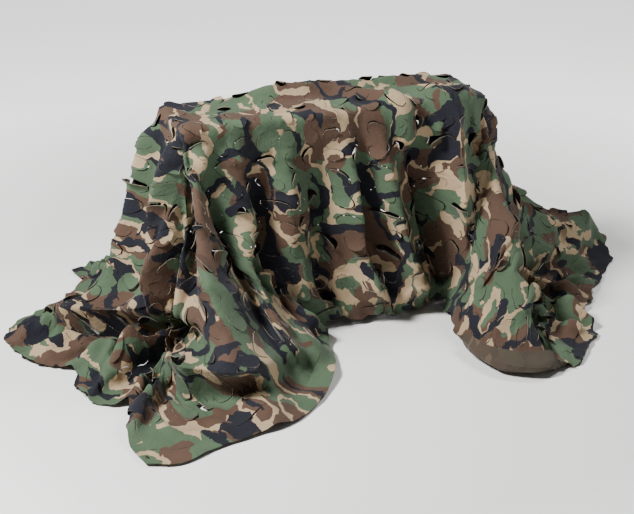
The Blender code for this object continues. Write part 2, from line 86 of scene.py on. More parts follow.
# %% Hem and fold tables
# Columns: distance along the side, x, y.
HEM_SIDES = {
    "front": [
        (0.00, -0.83, -0.77), (0.08, -0.76, -0.80), (0.23, -0.62, -0.76),
        (0.39, -0.48, -0.73), (0.52, -0.36, -0.70), (0.67, -0.24, -0.60),
        (0.86, -0.14, -0.44), (1.04, -0.10, -0.27), (1.16, -0.08, -0.19),
        (1.45, 0.12, -0.20), (1.65, 0.24, -0.19), (1.92, 0.38, -0.17),
        (2.02, 0.35, -0.26), (2.14, 0.31, -0.38), (2.34, 0.28, -0.55),
        (2.48, 0.31, -0.67), (2.62, 0.41, -0.74), (2.78, 0.50, -0.72),
        (3.00, 0.58, -0.70),
    ],
    "right": [
        (0.00, 0.58, -0.70), (0.09, 0.64, -0.64), (0.28, 0.75, -0.53),
        (0.44, 0.78, -0.42), (0.64, 0.88, -0.30), (0.79, 0.97, -0.20),
        (0.98, 1.12, -0.05), (1.11, 1.18, 0.06), (1.28, 1.22, 0.22),
        (1.42, 1.20, 0.35), (1.56, 1.13, 0.46), (1.77, 1.06, 0.65),
        (2.00, 0.93, 0.86),
    ],
    "back": [
        (0.00, 0.93, 0.86), (0.18, 0.81, 0.80), (0.38, 0.71, 0.72),
        (0.58, 0.62, 0.64), (0.80, 0.54, 0.57), (1.00, 0.45, 0.52),
        (1.17, 0.32, 0.55), (1.36, 0.16, 0.60), (1.56, 0.00, 0.53),
        (1.74, -0.16, 0.51), (1.93, -0.32, 0.56), (2.14, -0.44, 0.52),
        (2.38, -0.53, 0.56), (2.62, -0.61, 0.57), (2.85, -0.67, 0.62),
        (3.00, -0.74, 0.60),
    ],
    "left": [
        (0.00, -0.74, 0.60), (0.15, -0.73, 0.48), (0.335, -0.82, 0.37),
        (0.60, -0.99, 0.25), (0.725, -1.05, 0.17), (0.865, -1.06, 0.06),
        (1.10, -0.98, -0.11), (1.20, -0.92, -0.15), (1.43, -0.92, -0.32),
        (1.56, -0.89, -0.39), (1.68, -0.81, -0.45), (1.90, -0.85, -0.66),
        (2.00, -0.83, -0.77),
    ],
}

# Columns: name, line (s, t), half width, height at each point of the line.
FOLDS = [
    # hanging in front
    ("corner column", [(-.55, -.06), (-.76, -.10), (-.95, -.22), (-1.03, -.28)],
     .13, [.00, .05, .08, .03]),
    ("front left column", [(-.47, -.20), (-.64, -.39), (-.82, -.55), (-.96, -.72)],
     .10, [.00, .05, .08, .06]),
    ("corner groove", [(-.56, -.22), (-.72, -.33), (-.90, -.46)], .06, [.00, -.04, -.05]),
    ("left groove", [(-.43, -.26), (-.58, -.46), (-.70, -.62), (-.80, -.74)],
     .06, [.00, -.03, -.05, -.03]),
    ("rope fold", [(-.38, -.25), (-.45, -.50), (-.60, -.66), (-.70, -.76)],
     .05, [.01, .03, .035, .02]),
    ("front rib", [(.01, -.17), (.02, -.36), (.00, -.57), (.03, -.74)],
     .05, [.005, .02, .025, .03]),
    ("front fold", [(.12, -.15), (.15, -.45), (.19, -.67), (.24, -.80)],
     .07, [.015, .045, .05, .04]),
    ("deep groove", [(.27, -.21), (.28, -.43), (.33, -.69), (.39, -.78)],
     .055, [.00, -.05, -.055, -.02]),
    ("main bulge", [(.39, -.06), (.40, -.25), (.43, -.45), (.49, -.66), (.54, -.72)],
     .14, [.03, .055, .08, .08, .05]),
    ("bulge groove", [(.50, -.28), (.58, -.42), (.64, -.55)], .05, [-.015, -.03, -.02]),
    ("right column", [(.60, -.20), (.72, -.28), (.86, -.42), (.94, -.48)],
     .12, [.00, .04, .08, .06]),
    ("right rear column", [(.56, .00), (.70, .02), (.90, .02), (1.15, .03)],
     .15, [.00, .07, .10, .04]),
    ("left column", [(-.56, .12), (-.78, .10), (-1.00, .06)], .10, [.00, .03, .04]),
    # on the table
    ("far roll", [(-.42, .08), (-.28, .08), (-.15, .08), (.00, .08), (.12, .08),
                  (.24, .08), (.36, .08), (.46, .07)],
     .05, [.00, .015, .033, .028, .02, .026, .03, .01]),
    ("slant pleat", [(.09, .04), (.17, -.10), (.22, -.24)], .05, [.03, .04, .03]),
    # on the floor, left
    ("left swell", [(-1.40, .45), (-1.30, .29), (-1.18, .09), (-1.10, -.08)],
     .12, [.02, .06, .07, .05]),
    ("left crease", [(-1.31, .17), (-1.24, .00), (-1.10, -.30), (-1.00, -.55)],
     .06, [-.02, -.04, -.05, -.04]),
    ("left fold", [(-1.42, -.08), (-1.36, -.15), (-1.24, -.32), (-1.14, -.40)],
     .09, [.01, .06, .08, .04]),
    ("left low crease", [(-1.38, -.33), (-1.30, -.40)], .05, [-.02, -.03]),
    ("left low fold", [(-1.41, -.51), (-1.29, -.50), (-1.10, -.55), (-.98, -.62)],
     .08, [.01, .05, .07, .05]),
    ("lobe shoulder", [(-1.11, -.62), (-1.04, -.70), (-.95, -.76), (-.86, -.76)],
     .07, [.03, .06, .07, .04]),
    # on the floor, right
    ("bulge toe", [(.58, -.68), (.70, -.58), (.80, -.50)], .09, [.06, .08, .05]),
    ("right pleat", [(.90, -.55), (1.10, -.36), (1.35, -.22)], .08, [.03, .06, .03]),
    ("right low pleat", [(.78, -.68), (.98, -.62), (1.20, -.56), (1.40, -.50)],
     .08, [.02, .05, .06, .02]),
    ("right swell", [(1.23, .10), (1.36, .26), (1.41, .46)], .11, [.05, .07, .02]),
    ("right fold", [(1.15, -.06), (1.32, .02), (1.43, .05)], .08, [.05, .06, .02]),
    ("right small fold", [(1.22, -.24), (1.34, -.25), (1.43, -.28)], .07,
     [.03, .05, .01]),
    # behind
    ("back 1", [(-.42, .16), (-.44, .45), (-.46, .72), (-.45, .98)], .09,
     [.00, .06, .07, .03]),
    ("back 2", [(-.12, .16), (-.13, .45), (-.10, .72), (-.08, .98)], .11,
     [.00, .07, .08, .03]),
    ("back 3", [(.20, .16), (.20, .45), (.24, .72), (.24, .98)], .09,
     [.00, .05, .07, .03]),
    ("back 4", [(.45, .16), (.48, .42), (.54, .68), (.60, .95)], .10,
     [.00, .07, .08, .03]),
    ("back left corner", [(-.54, .18), (-.74, .42), (-.92, .68), (-1.08, .95)], .13,
     [.00, .06, .08, .03]),
    ("back right corner", [(.54, .18), (.78, .44), (.94, .66), (1.06, .86)], .13,
     [.00, .06, .07, .01]),
    ("left rear", [(-.56, .14), (-.88, .26), (-1.10, .42), (-1.35, .62)], .11,
     [.00, .05, .07, .02]),
    ("right rear", [(.56, .12), (.88, .22), (1.08, .42), (1.30, .74)], .11,
     [.00, .05, .07, .02]),
    ("back pleat left", [(-.80, .90), (-.50, .95), (-.20, .92)], .08, [.01, .05, .02]),
    ("back pleat right", [(.05, .96), (.40, .92), (.75, .98)], .08, [.02, .05, .01]),
]

# Narrower pleats on top of the main folds, where soft cloth breaks more sharply than the
# solid does: ridges are above zero and valleys below.  Columns as in FOLDS.
PLEATS = [
    # hanging in front
    ("ridge 1", [(-.33, -.15), (-.38, -.45), (-.74, -.75)], .055, [.00, .05, .03]),
    ("ridge 2", [(-.18, -.15), (-.22, -.40), (-.32, -.75)], .06, [.00, .05, .04]),
    ("ridge 3", [(.00, -.15), (.00, -.40), (-.05, -.75)], .05, [.00, .045, .04]),
    ("ridge 4", [(.12, -.15), (.13, -.50), (.18, -.75)], .05, [.00, .04, .04]),
    ("valley 1", [(-.58, -.18), (-.70, -.30), (-.92, -.48)], .065, [.00, -.07, -.055]),
    ("valley 2", [(-.42, -.18), (-.50, -.44), (-.80, -.70)], .055, [.00, -.06, -.04]),
    ("valley 3", [(-.27, -.18), (-.30, -.44), (-.46, -.75)], .05, [.00, -.055, -.04]),
    ("valley 4", [(-.08, -.18), (-.10, -.44), (-.20, -.75)], .055, [.00, -.06, -.04]),
    ("valley 5", [(.07, -.18), (.05, -.50), (.08, -.75)], .045, [.00, -.05, -.03]),
    ("valley 6", [(.26, -.18), (.30, -.48), (.36, -.76)], .05, [.00, -.05, -.02]),
    ("column groove", [(.53, -.18), (.58, -.36), (.56, -.56)], .04, [.00, -.04, -.03]),
    # on the table
    ("far ridge", [(-.36, .09), (.00, .09), (.24, .08)], .04, [.00, .017, .008]),
    ("near ridge", [(-.24, -.04), (-.05, -.03), (.10, -.05)], .04, [.00, .014, .01]),
    ("slant ridge 1", [(.14, .06), (.20, -.08), (.25, -.24)], .035, [.01, .022, .015]),
    ("slant ridge 2", [(.28, .08), (.33, -.08), (.37, -.22)], .035, [.008, .02, .01]),
    # on the floor
    ("lobe brow", [(-1.12, -.57), (-.98, -.68), (-.80, -.72)], .05, [.02, .05, .02]),
    ("undercut", [(-1.16, -.64), (-1.00, -.77), (-.65, -.83)], .05, [-.03, -.08, -.03]),
    ("left long crease", [(-1.30, .15), (-1.20, -.05), (-.98, -.62)], .05,
     [-.03, -.06, -.05]),
    ("left ridge", [(-1.30, .27), (-1.15, .02), (-1.08, -.12)], .06, [.03, .05, .03]),
    ("left outer ridge", [(-1.44, -.16), (-1.32, -.27), (-1.20, -.38)], .06,
     [.01, .05, .04]),
    ("left outer crease", [(-1.42, -.40), (-1.36, -.48), (-1.26, -.56)], .05,
     [-.03, -.07, -.05]),
    ("right brow", [(.86, -.50), (1.02, -.42), (1.22, -.32)], .05, [.01, .04, .03]),
    ("right low crease", [(.90, -.60), (1.10, -.50), (1.34, -.38)], .045,
     [-.01, -.04, -.03]),
]
print(len(FOLDS), "folds,", len(PLEATS), "pleats,",
      sum(len(rows) for rows in HEM_SIDES.values()), "hem points")

# %% [markdown]
# ## Laying the sheet over the table
# Straight lines drawn on the flat sheet outwards from the table's edge keep their length as
# they hang down and run over the floor.  That one rule gives every point of the drape.

# %% Drape functions
def ease(u):
    """Smooth step from 0 to 1."""
    u = np.clip(u, 0, 1)
    return u * u * (3 - 2 * u)


def from_core(s, t):
    """Step to each flat point from the nearest point of the table top's core, which is the
    top less its corner radius."""
    return s - np.clip(s, -CORE_S, CORE_S), t - np.clip(t, -CORE_T, CORE_T)


def from_hem(s, t):
    """Distance from each flat point to the nearest side of the sheet."""
    return np.minimum(np.minimum(s - S_MIN, S_MAX - s), np.minimum(t - T_MIN, T_MAX - t))


def from_eyelet(s, t):
    """Distance from each flat point to the nearest eyelet's middle."""
    return np.min([np.hypot(s - es, t - et) for es, et in EYELETS], axis=0)


def hem_distance(s, t):
    """Distance along the hem from the front left corner, for a point on the hem."""
    front, right, back = np.isclose(t, T_MIN), np.isclose(s, S_MAX), np.isclose(t, T_MAX)
    return np.where(front, s - S_MIN,
                    np.where(right, SHEET_LENGTH + t - T_MIN,
                             np.where(back, SHEET_LENGTH + SHEET_WIDTH + S_MAX - s,
                                      2 * SHEET_LENGTH + SHEET_WIDTH + T_MAX - t)))


def side_curve(u, rows):
    """Smooth curve through the rows of one side, with a corner free at each end."""
    rows = np.array(rows)
    at = rows[:, 0]
    gap = np.diff(at)
    i = np.clip(np.searchsorted(at, u, side="right") - 1, 0, len(at) - 2)
    v = (u - at[i]) / gap[i]
    out = []
    for column in (1, 2):
        value = rows[:, column]
        rise = np.diff(value) / gap
        inner = (rise[1:] * gap[:-1] + rise[:-1] * gap[1:]) / (gap[1:] + gap[:-1])
        slope = np.concatenate([rise[:1], inner, rise[-1:]])
        out.append((2 * v**3 - 3 * v**2 + 1) * value[i]
                   + (v**3 - 2 * v**2 + v) * gap[i] * slope[i]
                   + (3 * v**2 - 2 * v**3) * value[i + 1]
                   + (v**3 - v**2) * gap[i] * slope[i + 1])
    return out


def hem_plan(w):
    """Where the hem lies, from the distance along it."""
    w = np.mod(w, PERIMETER)
    x, y = np.zeros_like(w), np.zeros_like(w)
    start = 0.0
    for name, length in (("front", SHEET_LENGTH), ("right", SHEET_WIDTH),
                         ("back", SHEET_LENGTH), ("left", SHEET_WIDTH)):
        here = (w >= start) & (w <= start + length)
        sx, sy = side_curve(np.clip(w - start, 0, length), HEM_SIDES[name])
        x, y = np.where(here, sx, x), np.where(here, sy, y)
        start += length
    return x, y


TURN_MIDDLE, TURN_HALF = 2.52, 0.40      # along the hem: where it is turned back
TURN_WIDTH, ROLL = 0.095, 0.014          # width turned back, radius of the roll


def turned_back(w):
    """Width of hem that is turned back over itself, from the distance along the hem."""
    return TURN_WIDTH * ease(1.7 * (TURN_HALF - np.abs(w - TURN_MIDDLE)) / TURN_HALF)


def hang(s, t):
    """The drape without its folds: each straight line of the flat sheet that leaves the
    table's edge hangs down, lands, and runs over the floor to its place on the hem.

    The line leaves the edge point e and is `full` long to the hem, which lies `reach` away
    in plan.  It lands `foot` out, where the hanging slant and the run on the floor together
    use up its length:  hypot(foot, height) + reach - foot = full.
    """
    near_x, near_y = np.clip(s, -CORE_S, CORE_S), np.clip(t, -CORE_T, CORE_T)
    away = np.maximum(np.hypot(s - near_x, t - near_y), 1e-9)
    nx, ny = (s - near_x) / away, (t - near_y) / away
    ex, ey = near_x + CORNER_RADIUS * nx, near_y + CORNER_RADIUS * ny
    along = away - CORNER_RADIUS
    with np.errstate(divide="ignore", invalid="ignore"):
        to_s = np.where(nx > 1e-9, (S_MAX - ex) / nx,
                        np.where(nx < -1e-9, (S_MIN - ex) / nx, 1e9))
        to_t = np.where(ny > 1e-9, (T_MAX - ey) / ny,
                        np.where(ny < -1e-9, (T_MIN - ey) / ny, 1e9))
    full = np.minimum(to_s, to_t)
    hem_s = np.where(to_s <= to_t, np.where(nx > 0, S_MAX, S_MIN), ex + nx * full)
    hem_t = np.where(to_t < to_s, np.where(ny > 0, T_MAX, T_MIN), ey + ny * full)
    w = hem_distance(hem_s, hem_t)
    qx, qy = hem_plan(w)
    reach = np.maximum(np.hypot(qx - ex, qy - ey), 1e-6)
    ux, uy = (qx - ex) / reach, (qy - ey) / reach
    turn = turned_back(w)
    full = full - turn
    past = along - full
    along = np.minimum(along, full)
    spare = np.clip(full - reach, 0.05, None)
    foot = (TABLE_HEIGHT**2 - spare**2) / (2 * spare)
    foot = np.clip(foot, np.minimum(0.03, reach), reach)
    drop = np.minimum(np.hypot(foot, TABLE_HEIGHT), full)
    run = np.maximum(full - drop, 1e-3)
    down = along / drop
    # on the floor the cloth keeps its size at the hem and is pushed together nearer the foot
    share = np.minimum((reach - foot) / run, 1.0)
    left = np.clip(full - along, 0, run)
    inside = share * left + (1 - share) * 0.08 * (1 - np.exp(-left / 0.08)) * (1 - left / run)
    out = np.where(down < 1, foot * np.clip(down, 0, 1) ** 2, reach - inside)
    fall = TABLE_HEIGHT * (1 - down)
    toe = 0.05
    z = np.where(fall > toe, fall, np.where(fall < -toe, 0, (fall + toe) ** 2 / (4 * toe)))
    # past the fold the cloth goes round a half circle and lies back on itself
    arc = np.clip(past / ROLL, 0, np.pi)
    out = out + ROLL * np.sin(arc) - np.maximum(past - np.pi * ROLL, 0)
    z = z + ROLL * (1 - np.cos(arc))
    on_top = along < 0
    x = np.where(on_top, s, ex + ux * out)
    y = np.where(on_top, t, ey + uy * out)
    z = np.where(on_top, TABLE_HEIGHT, z)
    # a fold stands out level while the cloth hangs, and straight up on table and floor
    ox, oy = nx + 0.35 * ux, ny + 0.35 * uy
    size = np.maximum(np.hypot(ox, oy), 1e-6)
    lift = np.maximum(ease((down - 0.75) / 0.35), 1 - ease((along + 0.02) / 0.06))
    level, upright = np.cos(lift * np.pi / 2), np.sin(lift * np.pi / 2)
    side = np.stack([level * ox / size, level * oy / size, upright], -1)
    return np.stack([x, y, z], -1), side, past, turn


def fold_height(s, t):
    """Sum of the folds and pleats: each is a raised cosine across its line."""
    total = np.zeros_like(s)
    for _, line, half, heights in FOLDS + PLEATS:
        nearest = np.full(s.shape, 9.0)
        height = np.zeros_like(s)
        for (a, b, ha, hb) in zip(line[:-1], line[1:], heights[:-1], heights[1:]):
            ds, dt = b[0] - a[0], b[1] - a[1]
            u = np.clip(((s - a[0]) * ds + (t - a[1]) * dt) / (ds * ds + dt * dt), 0, 1)
            away = np.hypot(s - a[0] - u * ds, t - a[1] - u * dt)
            closer = away < nearest
            nearest = np.where(closer, away, nearest)
            height = np.where(closer, ha + (hb - ha) * u, height)
        total += height * (0.5 + 0.5 * np.cos(np.pi * np.clip(nearest / half, 0, 1)))
    return total


def drape(s, t):
    """Place of each point of the flat sheet: the hanging shape plus its folds."""
    point, side, past, _ = hang(s, t)
    # turned-back cloth lies on the folds of the cloth that is under it
    ds, dt = from_core(s, t)
    away = np.maximum(np.hypot(ds, dt), 1e-9)
    back = np.where(past > 0, np.maximum(2 * past - np.pi * ROLL, past), 0) / away
    height = fold_height(s - ds * back, t - dt * back)
    point = point + side * height[..., None]
    point[..., 2] = np.maximum(point[..., 2], REST)
    flat = (1 - ease((from_eyelet(s, t) - FLAT_RADIUS) / FLAT_FADE)) * (past <= 0)
    point[..., 2] += (REST - point[..., 2]) * flat
    return point


def flat_grid(step):
    """s and t of a regular grid over the whole flat sheet."""
    columns, rows = (int(round(size / step)) + 1 for size in (SHEET_LENGTH, SHEET_WIDTH))
    return np.meshgrid(np.linspace(S_MIN, S_MAX, columns), np.linspace(T_MIN, T_MAX, rows))


BASE_STEP = 0.020
base_s, base_t = flat_grid(BASE_STEP)
laid = drape(base_s, base_t)
_, laid_side, laid_past, laid_turn = hang(base_s, base_t)
print("drape", laid.shape, laid.min((0, 1)).round(3), laid.max((0, 1)).round(3))

# %% [markdown]
# ## Gathers
# At the table's corners the flat sheet is wider than the room it hangs in, so the cloth
# gathers into folds that run down to the hem.  A wave of length L that must take up
# a width 1/c times its room is about a = L c / pi * sqrt(1/c - 1) deep, so the gathers are
# deep exactly where there is cloth to spare.

# %% Gathers
GATHER = 0.21               # flat length of one fold, along the hem
DEEPEST_GATHER = 0.045
RUMPLE = 0.024              # height of the bunches on the floor
HEM_WANDER, HEM_LIFT = 0.011, 0.016     # sideways and upwards
HEM_WAVES = ((0.5, 0.193, 0.3), (0.6, 0.094, 1.7), (0.35, 0.057, 4.0))  # size, length, start
rng = np.random.default_rng(7)


def blurred(grid, rounds):
    """Each value becomes the mean of itself and its four neighbours, again and again."""
    for _ in range(rounds):
        wide = np.pad(grid, 1, mode="edge")
        grid = (grid + wide[:-2, 1:-1] + wide[2:, 1:-1] + wide[1:-1, :-2] + wide[1:-1, 2:]) / 5
    return grid


def gather_height(points, s, t):
    """Height of the gathers over a grid of draped points, with each point's distance along
    the hem and its distance from the hem."""
    ds, dt = from_core(s, t)
    away = np.maximum(np.hypot(ds, dt), 1e-6)
    ns, nt = ds / away, dt / away
    along_s, along_t = (np.gradient(points, BASE_STEP, axis=k) for k in (1, 0))
    room = np.linalg.norm(along_s * -nt[..., None] + along_t * ns[..., None], axis=-1)
    room = np.clip(blurred(room, 4), 0.3, 1.0)
    to_s = np.where(np.abs(ns) > 1e-9,
                    (SHEET_LENGTH / 2 - np.abs(s)) / np.maximum(np.abs(ns), 1e-9), 9)
    to_t = np.where(nt > 1e-9, (T_MAX - t) / np.maximum(nt, 1e-9),
                    np.where(nt < -1e-9, (t - T_MIN) / np.maximum(-nt, 1e-9), 9))
    rest = np.minimum(to_s, to_t)
    w = hem_distance(np.where(to_s <= to_t, np.sign(s) * SHEET_LENGTH / 2, s + ns * rest),
                     np.where(to_t < to_s, np.where(nt > 0, T_MAX, T_MIN), t + nt * rest))
    corner = (np.abs(ns) > 1e-6) & (np.abs(nt) > 1e-6)
    length = GATHER * np.where(corner, away / np.maximum(away + rest, 1e-6), 1.0)
    depth = length * room / np.pi * np.sqrt(1 / room - 1)
    depth = np.minimum(depth, DEEPEST_GATHER) * ease((length - 0.05) / 0.05) * ease(away / 0.12)
    wobble = 0.9 * blurred(rng.uniform(-6, 6, s.shape), 60)
    folds = depth * (1 + np.cos(2 * np.pi * w / GATHER + wobble)) * (1 - 0.6 * ease(1 - rest / 0.1))
    return folds, w, rest


gathers, laid_w, laid_rest = gather_height(laid, base_s, base_t)
free = 1 - ease(laid_turn / 0.05)
gathers *= free
rumple = blurred(rng.normal(0, 1, base_s.shape), 7)
rumple = 1 - np.abs(rumple / rumple.std())
on_floor = 1 - ease((laid[..., 2] - 0.02) / 0.12)
gathers += (RUMPLE * np.clip(rumple, -0.8, 1) * on_floor * free
            * (0.5 + 0.5 * ease(-laid_past / 0.05)))
# the hem itself wanders in and out and lifts off the floor here and there
near_hem = np.exp(-(laid_rest / 0.09) ** 2) * free * on_floor
near_hem *= 1 - 0.8 * ease((laid_w - 0.05) / 0.1) * ease((1.15 - laid_w) / 0.15)
waves = sum(size * np.sin(2 * np.pi * laid_w / length + start)
            for size, length, start in HEM_WAVES)
clear = ease((from_eyelet(base_s, base_t) - FLAT_RADIUS) / 0.12)
gathers *= clear
near_hem *= clear
outward = laid[..., :2] / np.maximum(np.linalg.norm(laid[..., :2], axis=-1, keepdims=True), 0.1)
laid[..., :2] -= outward * (HEM_WANDER * (waves + 0.6) * near_hem)[..., None]
laid[..., 2] += HEM_LIFT * np.maximum(np.roll(waves, 3, 1), 0) * near_hem
laid = laid + laid_side * gathers[..., None]
laid[..., 2] = np.maximum(laid[..., 2], REST)
print("gathers up to", round(float(gathers.max()) * 1000), "mm")

# %% [markdown]
# ## Letting it settle
# A formula gives smooth, even folds, and cloth isn't so tidy.  A cloth simulation starts
# from the laid sheet, with the flat sheet as its rest shape, and runs for a second: taut
# parts pull straight and spare cloth breaks into creases.  The hem and the main folds are
# held by soft pins, so that the cloth stays on its solid.  Creases are then deepened a
# little, and cloth is pushed clear of the table's legs.

# %% Cloth simulation
SETTLE_FRAMES = 26
MOST_MOVED, MOST_SUNK = 0.060, 0.015    # in any direction, and inwards
SHARPEN = 0.30              # extra depth given to creases of about 10 cm
PIN_LOOSE, PIN_HEM, PIN_FOLD = 0.015, 0.97, 0.70    # strength of the soft pins
SOLID_INSET = 0.006         # the table in the simulation is this much smaller all round
TOUCH_GAP, SELF_GAP = 0.004, 0.005      # from cloth to table or floor, and to itself


def new_object(name, data):
    """Adds an object that shows the data to the scene."""
    obj = bpy.data.objects.new(name, data)
    bpy.context.collection.objects.link(obj)
    return obj


def box_object(name, low, high):
    """Plain box from its two corners."""
    mesh = bpy.data.meshes.new(name)
    corners = [(x, y, z) for x in (low[0], high[0]) for y in (low[1], high[1])
               for z in (low[2], high[2])]
    mesh.from_pydata(corners, [], [(0, 1, 3, 2), (4, 6, 7, 5), (0, 4, 5, 1), (2, 3, 7, 6),
                                   (0, 2, 6, 4), (1, 5, 7, 3)])
    return new_object(name, mesh)


def grid_quads(index):
    """Quads of a regular grid, from the numbers of its points."""
    return np.stack([index[:-1, :-1], index[:-1, 1:], index[1:, 1:], index[1:, :-1]], -1)


def as_triangles(quads):
    """Two triangles for each quad: first one half of them all, then the other."""
    return np.concatenate([quads[..., [0, 1, 2]], quads[..., [0, 2, 3]]], -2)


def settle(start, s, t):
    """Runs the simulation on a grid and returns where its points end."""
    mesh = bpy.data.meshes.new("settling")
    quads = grid_quads(np.arange(s.size).reshape(s.shape)).reshape(-1, 4)
    mesh.from_pydata(start.reshape(-1, 3), [], quads)
    sheet = new_object("settling", mesh)
    sheet.shape_key_add(name="Basis")
    flat = sheet.shape_key_add(name="flat")
    flat.data.foreach_set("co", np.stack([s, t, 0 * s], -1).astype(np.float32).ravel())
    flat.value = 0.0
    hold = (PIN_LOOSE + PIN_HEM * np.exp(-(from_hem(s, t) / 0.06) ** 2)
            + PIN_FOLD * np.clip(np.abs(fold_height(s, t)) / 0.03, 0, 1))
    hold = np.where((laid_turn > 0.01) & (laid_past > -0.16), 1.0, hold)
    hold = np.round(np.clip(hold, 0, 1), 2).ravel()
    pins = sheet.vertex_groups.new(name="pins")
    for value in np.unique(hold):
        pins.add(np.flatnonzero(hold == value).tolist(), float(value), "REPLACE")
    half_x, half_y = TABLE_LENGTH / 2 - SOLID_INSET, TABLE_DEPTH / 2 - SOLID_INSET
    solids = [box_object("settling_top", (-half_x, -half_y, TABLE_HEIGHT - 0.03),
                         (half_x, half_y, TABLE_HEIGHT - TOUCH_GAP)),
              box_object("settling_floor", (-3, -3, -0.2), (3, 3, 0))]
    rounded = solids[0].modifiers.new("edge", "BEVEL")
    rounded.width, rounded.segments = 0.010, 3
    for solid in solids:
        solid.modifiers.new("collision", "COLLISION")
        solid.collision.thickness_outer = TOUCH_GAP
        solid.collision.cloth_friction = 20
    cloth = sheet.modifiers.new("cloth", "CLOTH")
    rules = cloth.settings
    rules.quality, rules.mass, rules.air_damping = 5, 0.1, 2
    rules.tension_stiffness = rules.compression_stiffness = 8
    rules.shear_stiffness, rules.bending_stiffness = 3, 0.02
    rules.tension_damping = rules.compression_damping = 8
    rules.bending_damping = 0.5
    rules.rest_shape_key = flat
    rules.vertex_group_mass, rules.pin_stiffness = "pins", 1.0
    touch = cloth.collision_settings
    touch.collision_quality, touch.distance_min = 3, TOUCH_GAP
    touch.use_self_collision, touch.self_distance_min = True, SELF_GAP
    cloth.point_cache.frame_start, cloth.point_cache.frame_end = 1, SETTLE_FRAMES + 2
    scene = bpy.context.scene
    scene.frame_start, scene.frame_end = 1, SETTLE_FRAMES + 2
    for frame_number in range(1, SETTLE_FRAMES + 1):
        scene.frame_set(frame_number)
    shown = sheet.evaluated_get(bpy.context.evaluated_depsgraph_get()).to_mesh()
    ended = np.empty(len(shown.vertices) * 3, np.float32)
    shown.vertices.foreach_get("co", ended)
    scene.frame_set(1)
    for obj in (sheet, *solids):
        bpy.data.objects.remove(obj)
    moved = ended.reshape(start.shape) - start
    inwards = (moved * laid_side).sum(-1, keepdims=True)
    moved -= laid_side * np.minimum(inwards + MOST_SUNK, 0)
    size = np.linalg.norm(moved, axis=-1, keepdims=True)
    print("moved", np.percentile(size, [50, 95, 100]).round(3), "m")
    return start + moved * np.minimum(1, MOST_MOVED / np.maximum(size, 1e-9))


LEG_LOW, LEG_HIGH = (np.array(corner) - TABLE_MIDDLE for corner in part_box("table_leg_back_right"))
LEG_REACH = np.array([0.040, 0.045])    # from a leg's inner corner in to the pole
LEG_FADE = 0.030                        # the push fades in over this much past the pole
LEG_ROOM, LEG_ROOM_AT_END = 0.014, 0.005    # of the coarse grid, and of the final points


def clear_of_legs(points, room):
    """Cloth that would pass through a table leg is pushed out until it is `room` away.  The
    four legs are alike, so each point is treated as if it were by the back right one.  The
    push goes straight out from a pole between the leg and the table's middle, so neighbours
    stay neighbours."""
    side = np.where(points[..., :2] < 0, -1.0, 1.0)
    pole = LEG_LOW[:2] - LEG_REACH
    away = np.abs(points[..., :2]) - pole
    limit = LEG_HIGH[:2] + room - pole
    grow = np.min(limit / np.maximum(away, 1e-6), axis=-1)
    weight = ease(away[..., 0] / LEG_FADE) * ease(away[..., 1] / LEG_FADE)
    weight *= ease((TABLE_HEIGHT - 0.005 - points[..., 2]) / 0.02) * (grow > 1)
    moved = points.copy()
    moved[..., :2] += side * away * (np.clip(grow - 1, 0, 9) * weight)[..., None]
    return moved


settled = settle(laid, base_s, base_t)
crisp = settled - np.stack([blurred(settled[..., axis], 8) for axis in range(3)], -1)
sharpened = SHARPEN * ease(from_hem(base_s, base_t) / 0.15) * free
settled = clear_of_legs(settled + crisp * sharpened[..., None], LEG_ROOM)
cells = np.linalg.norm(np.cross(settled[:-1, 1:] - settled[:-1, :-1],
                                settled[1:, :-1] - settled[:-1, :-1]), axis=-1)
print("area share", (cells.mean() / BASE_STEP ** 2).round(3))

# %% [markdown]
# ## Where the print goes
# The print would follow the flat sheet, but the laid sheet isn't quite true to size
# everywhere.  So the flat coordinates are eased until neighbouring points are as far apart
# on them as on the settled cloth, and the print keeps its real scale all over.

# %% Print coordinates
def eased_flat(points, s, t, rounds=900):
    """Moves each pair of neighbours on the flat towards their distance on the cloth."""
    q = np.stack([s, t], -1)
    links = [(np.s_[:, :-1], np.s_[:, 1:]), (np.s_[:-1], np.s_[1:]),
             (np.s_[:-1, :-1], np.s_[1:, 1:]), (np.s_[:-1, 1:], np.s_[1:, :-1])]
    wanted = [np.linalg.norm(points[b] - points[a], axis=-1) for a, b in links]
    for _ in range(rounds):
        step = np.zeros_like(q)
        for (a, b), length in zip(links, wanted):
            gap = q[b] - q[a]
            now = np.maximum(np.linalg.norm(gap, axis=-1), 1e-6)
            push = gap * ((now - length) / now)[..., None]
            step[a] += push
            step[b] -= push
        q = q + step * 0.11
    return q


printed_at = eased_flat(settled, base_s, base_t)
print("print covers", np.ptp(printed_at[..., 0]).round(2), "x", np.ptp(printed_at[..., 1]).round(2))

# %% [markdown]
# ## A smooth surface through the settled cloth
# The coarse grid becomes a smooth surface with uniform cubic B-splines: each point is the
# weighted mean of its sixteen nearest grid points.  It rounds the corners of the grid just
# as thin cloth would.

# %% Smooth surface
def spline_weights(f):
    """The four uniform cubic B-spline weights at fraction f of a cell."""
    return np.stack([(1 - f) ** 3, 3 * f ** 3 - 6 * f ** 2 + 4,
                     -3 * f ** 3 + 3 * f ** 2 + 3 * f + 1, f ** 3]) / 6


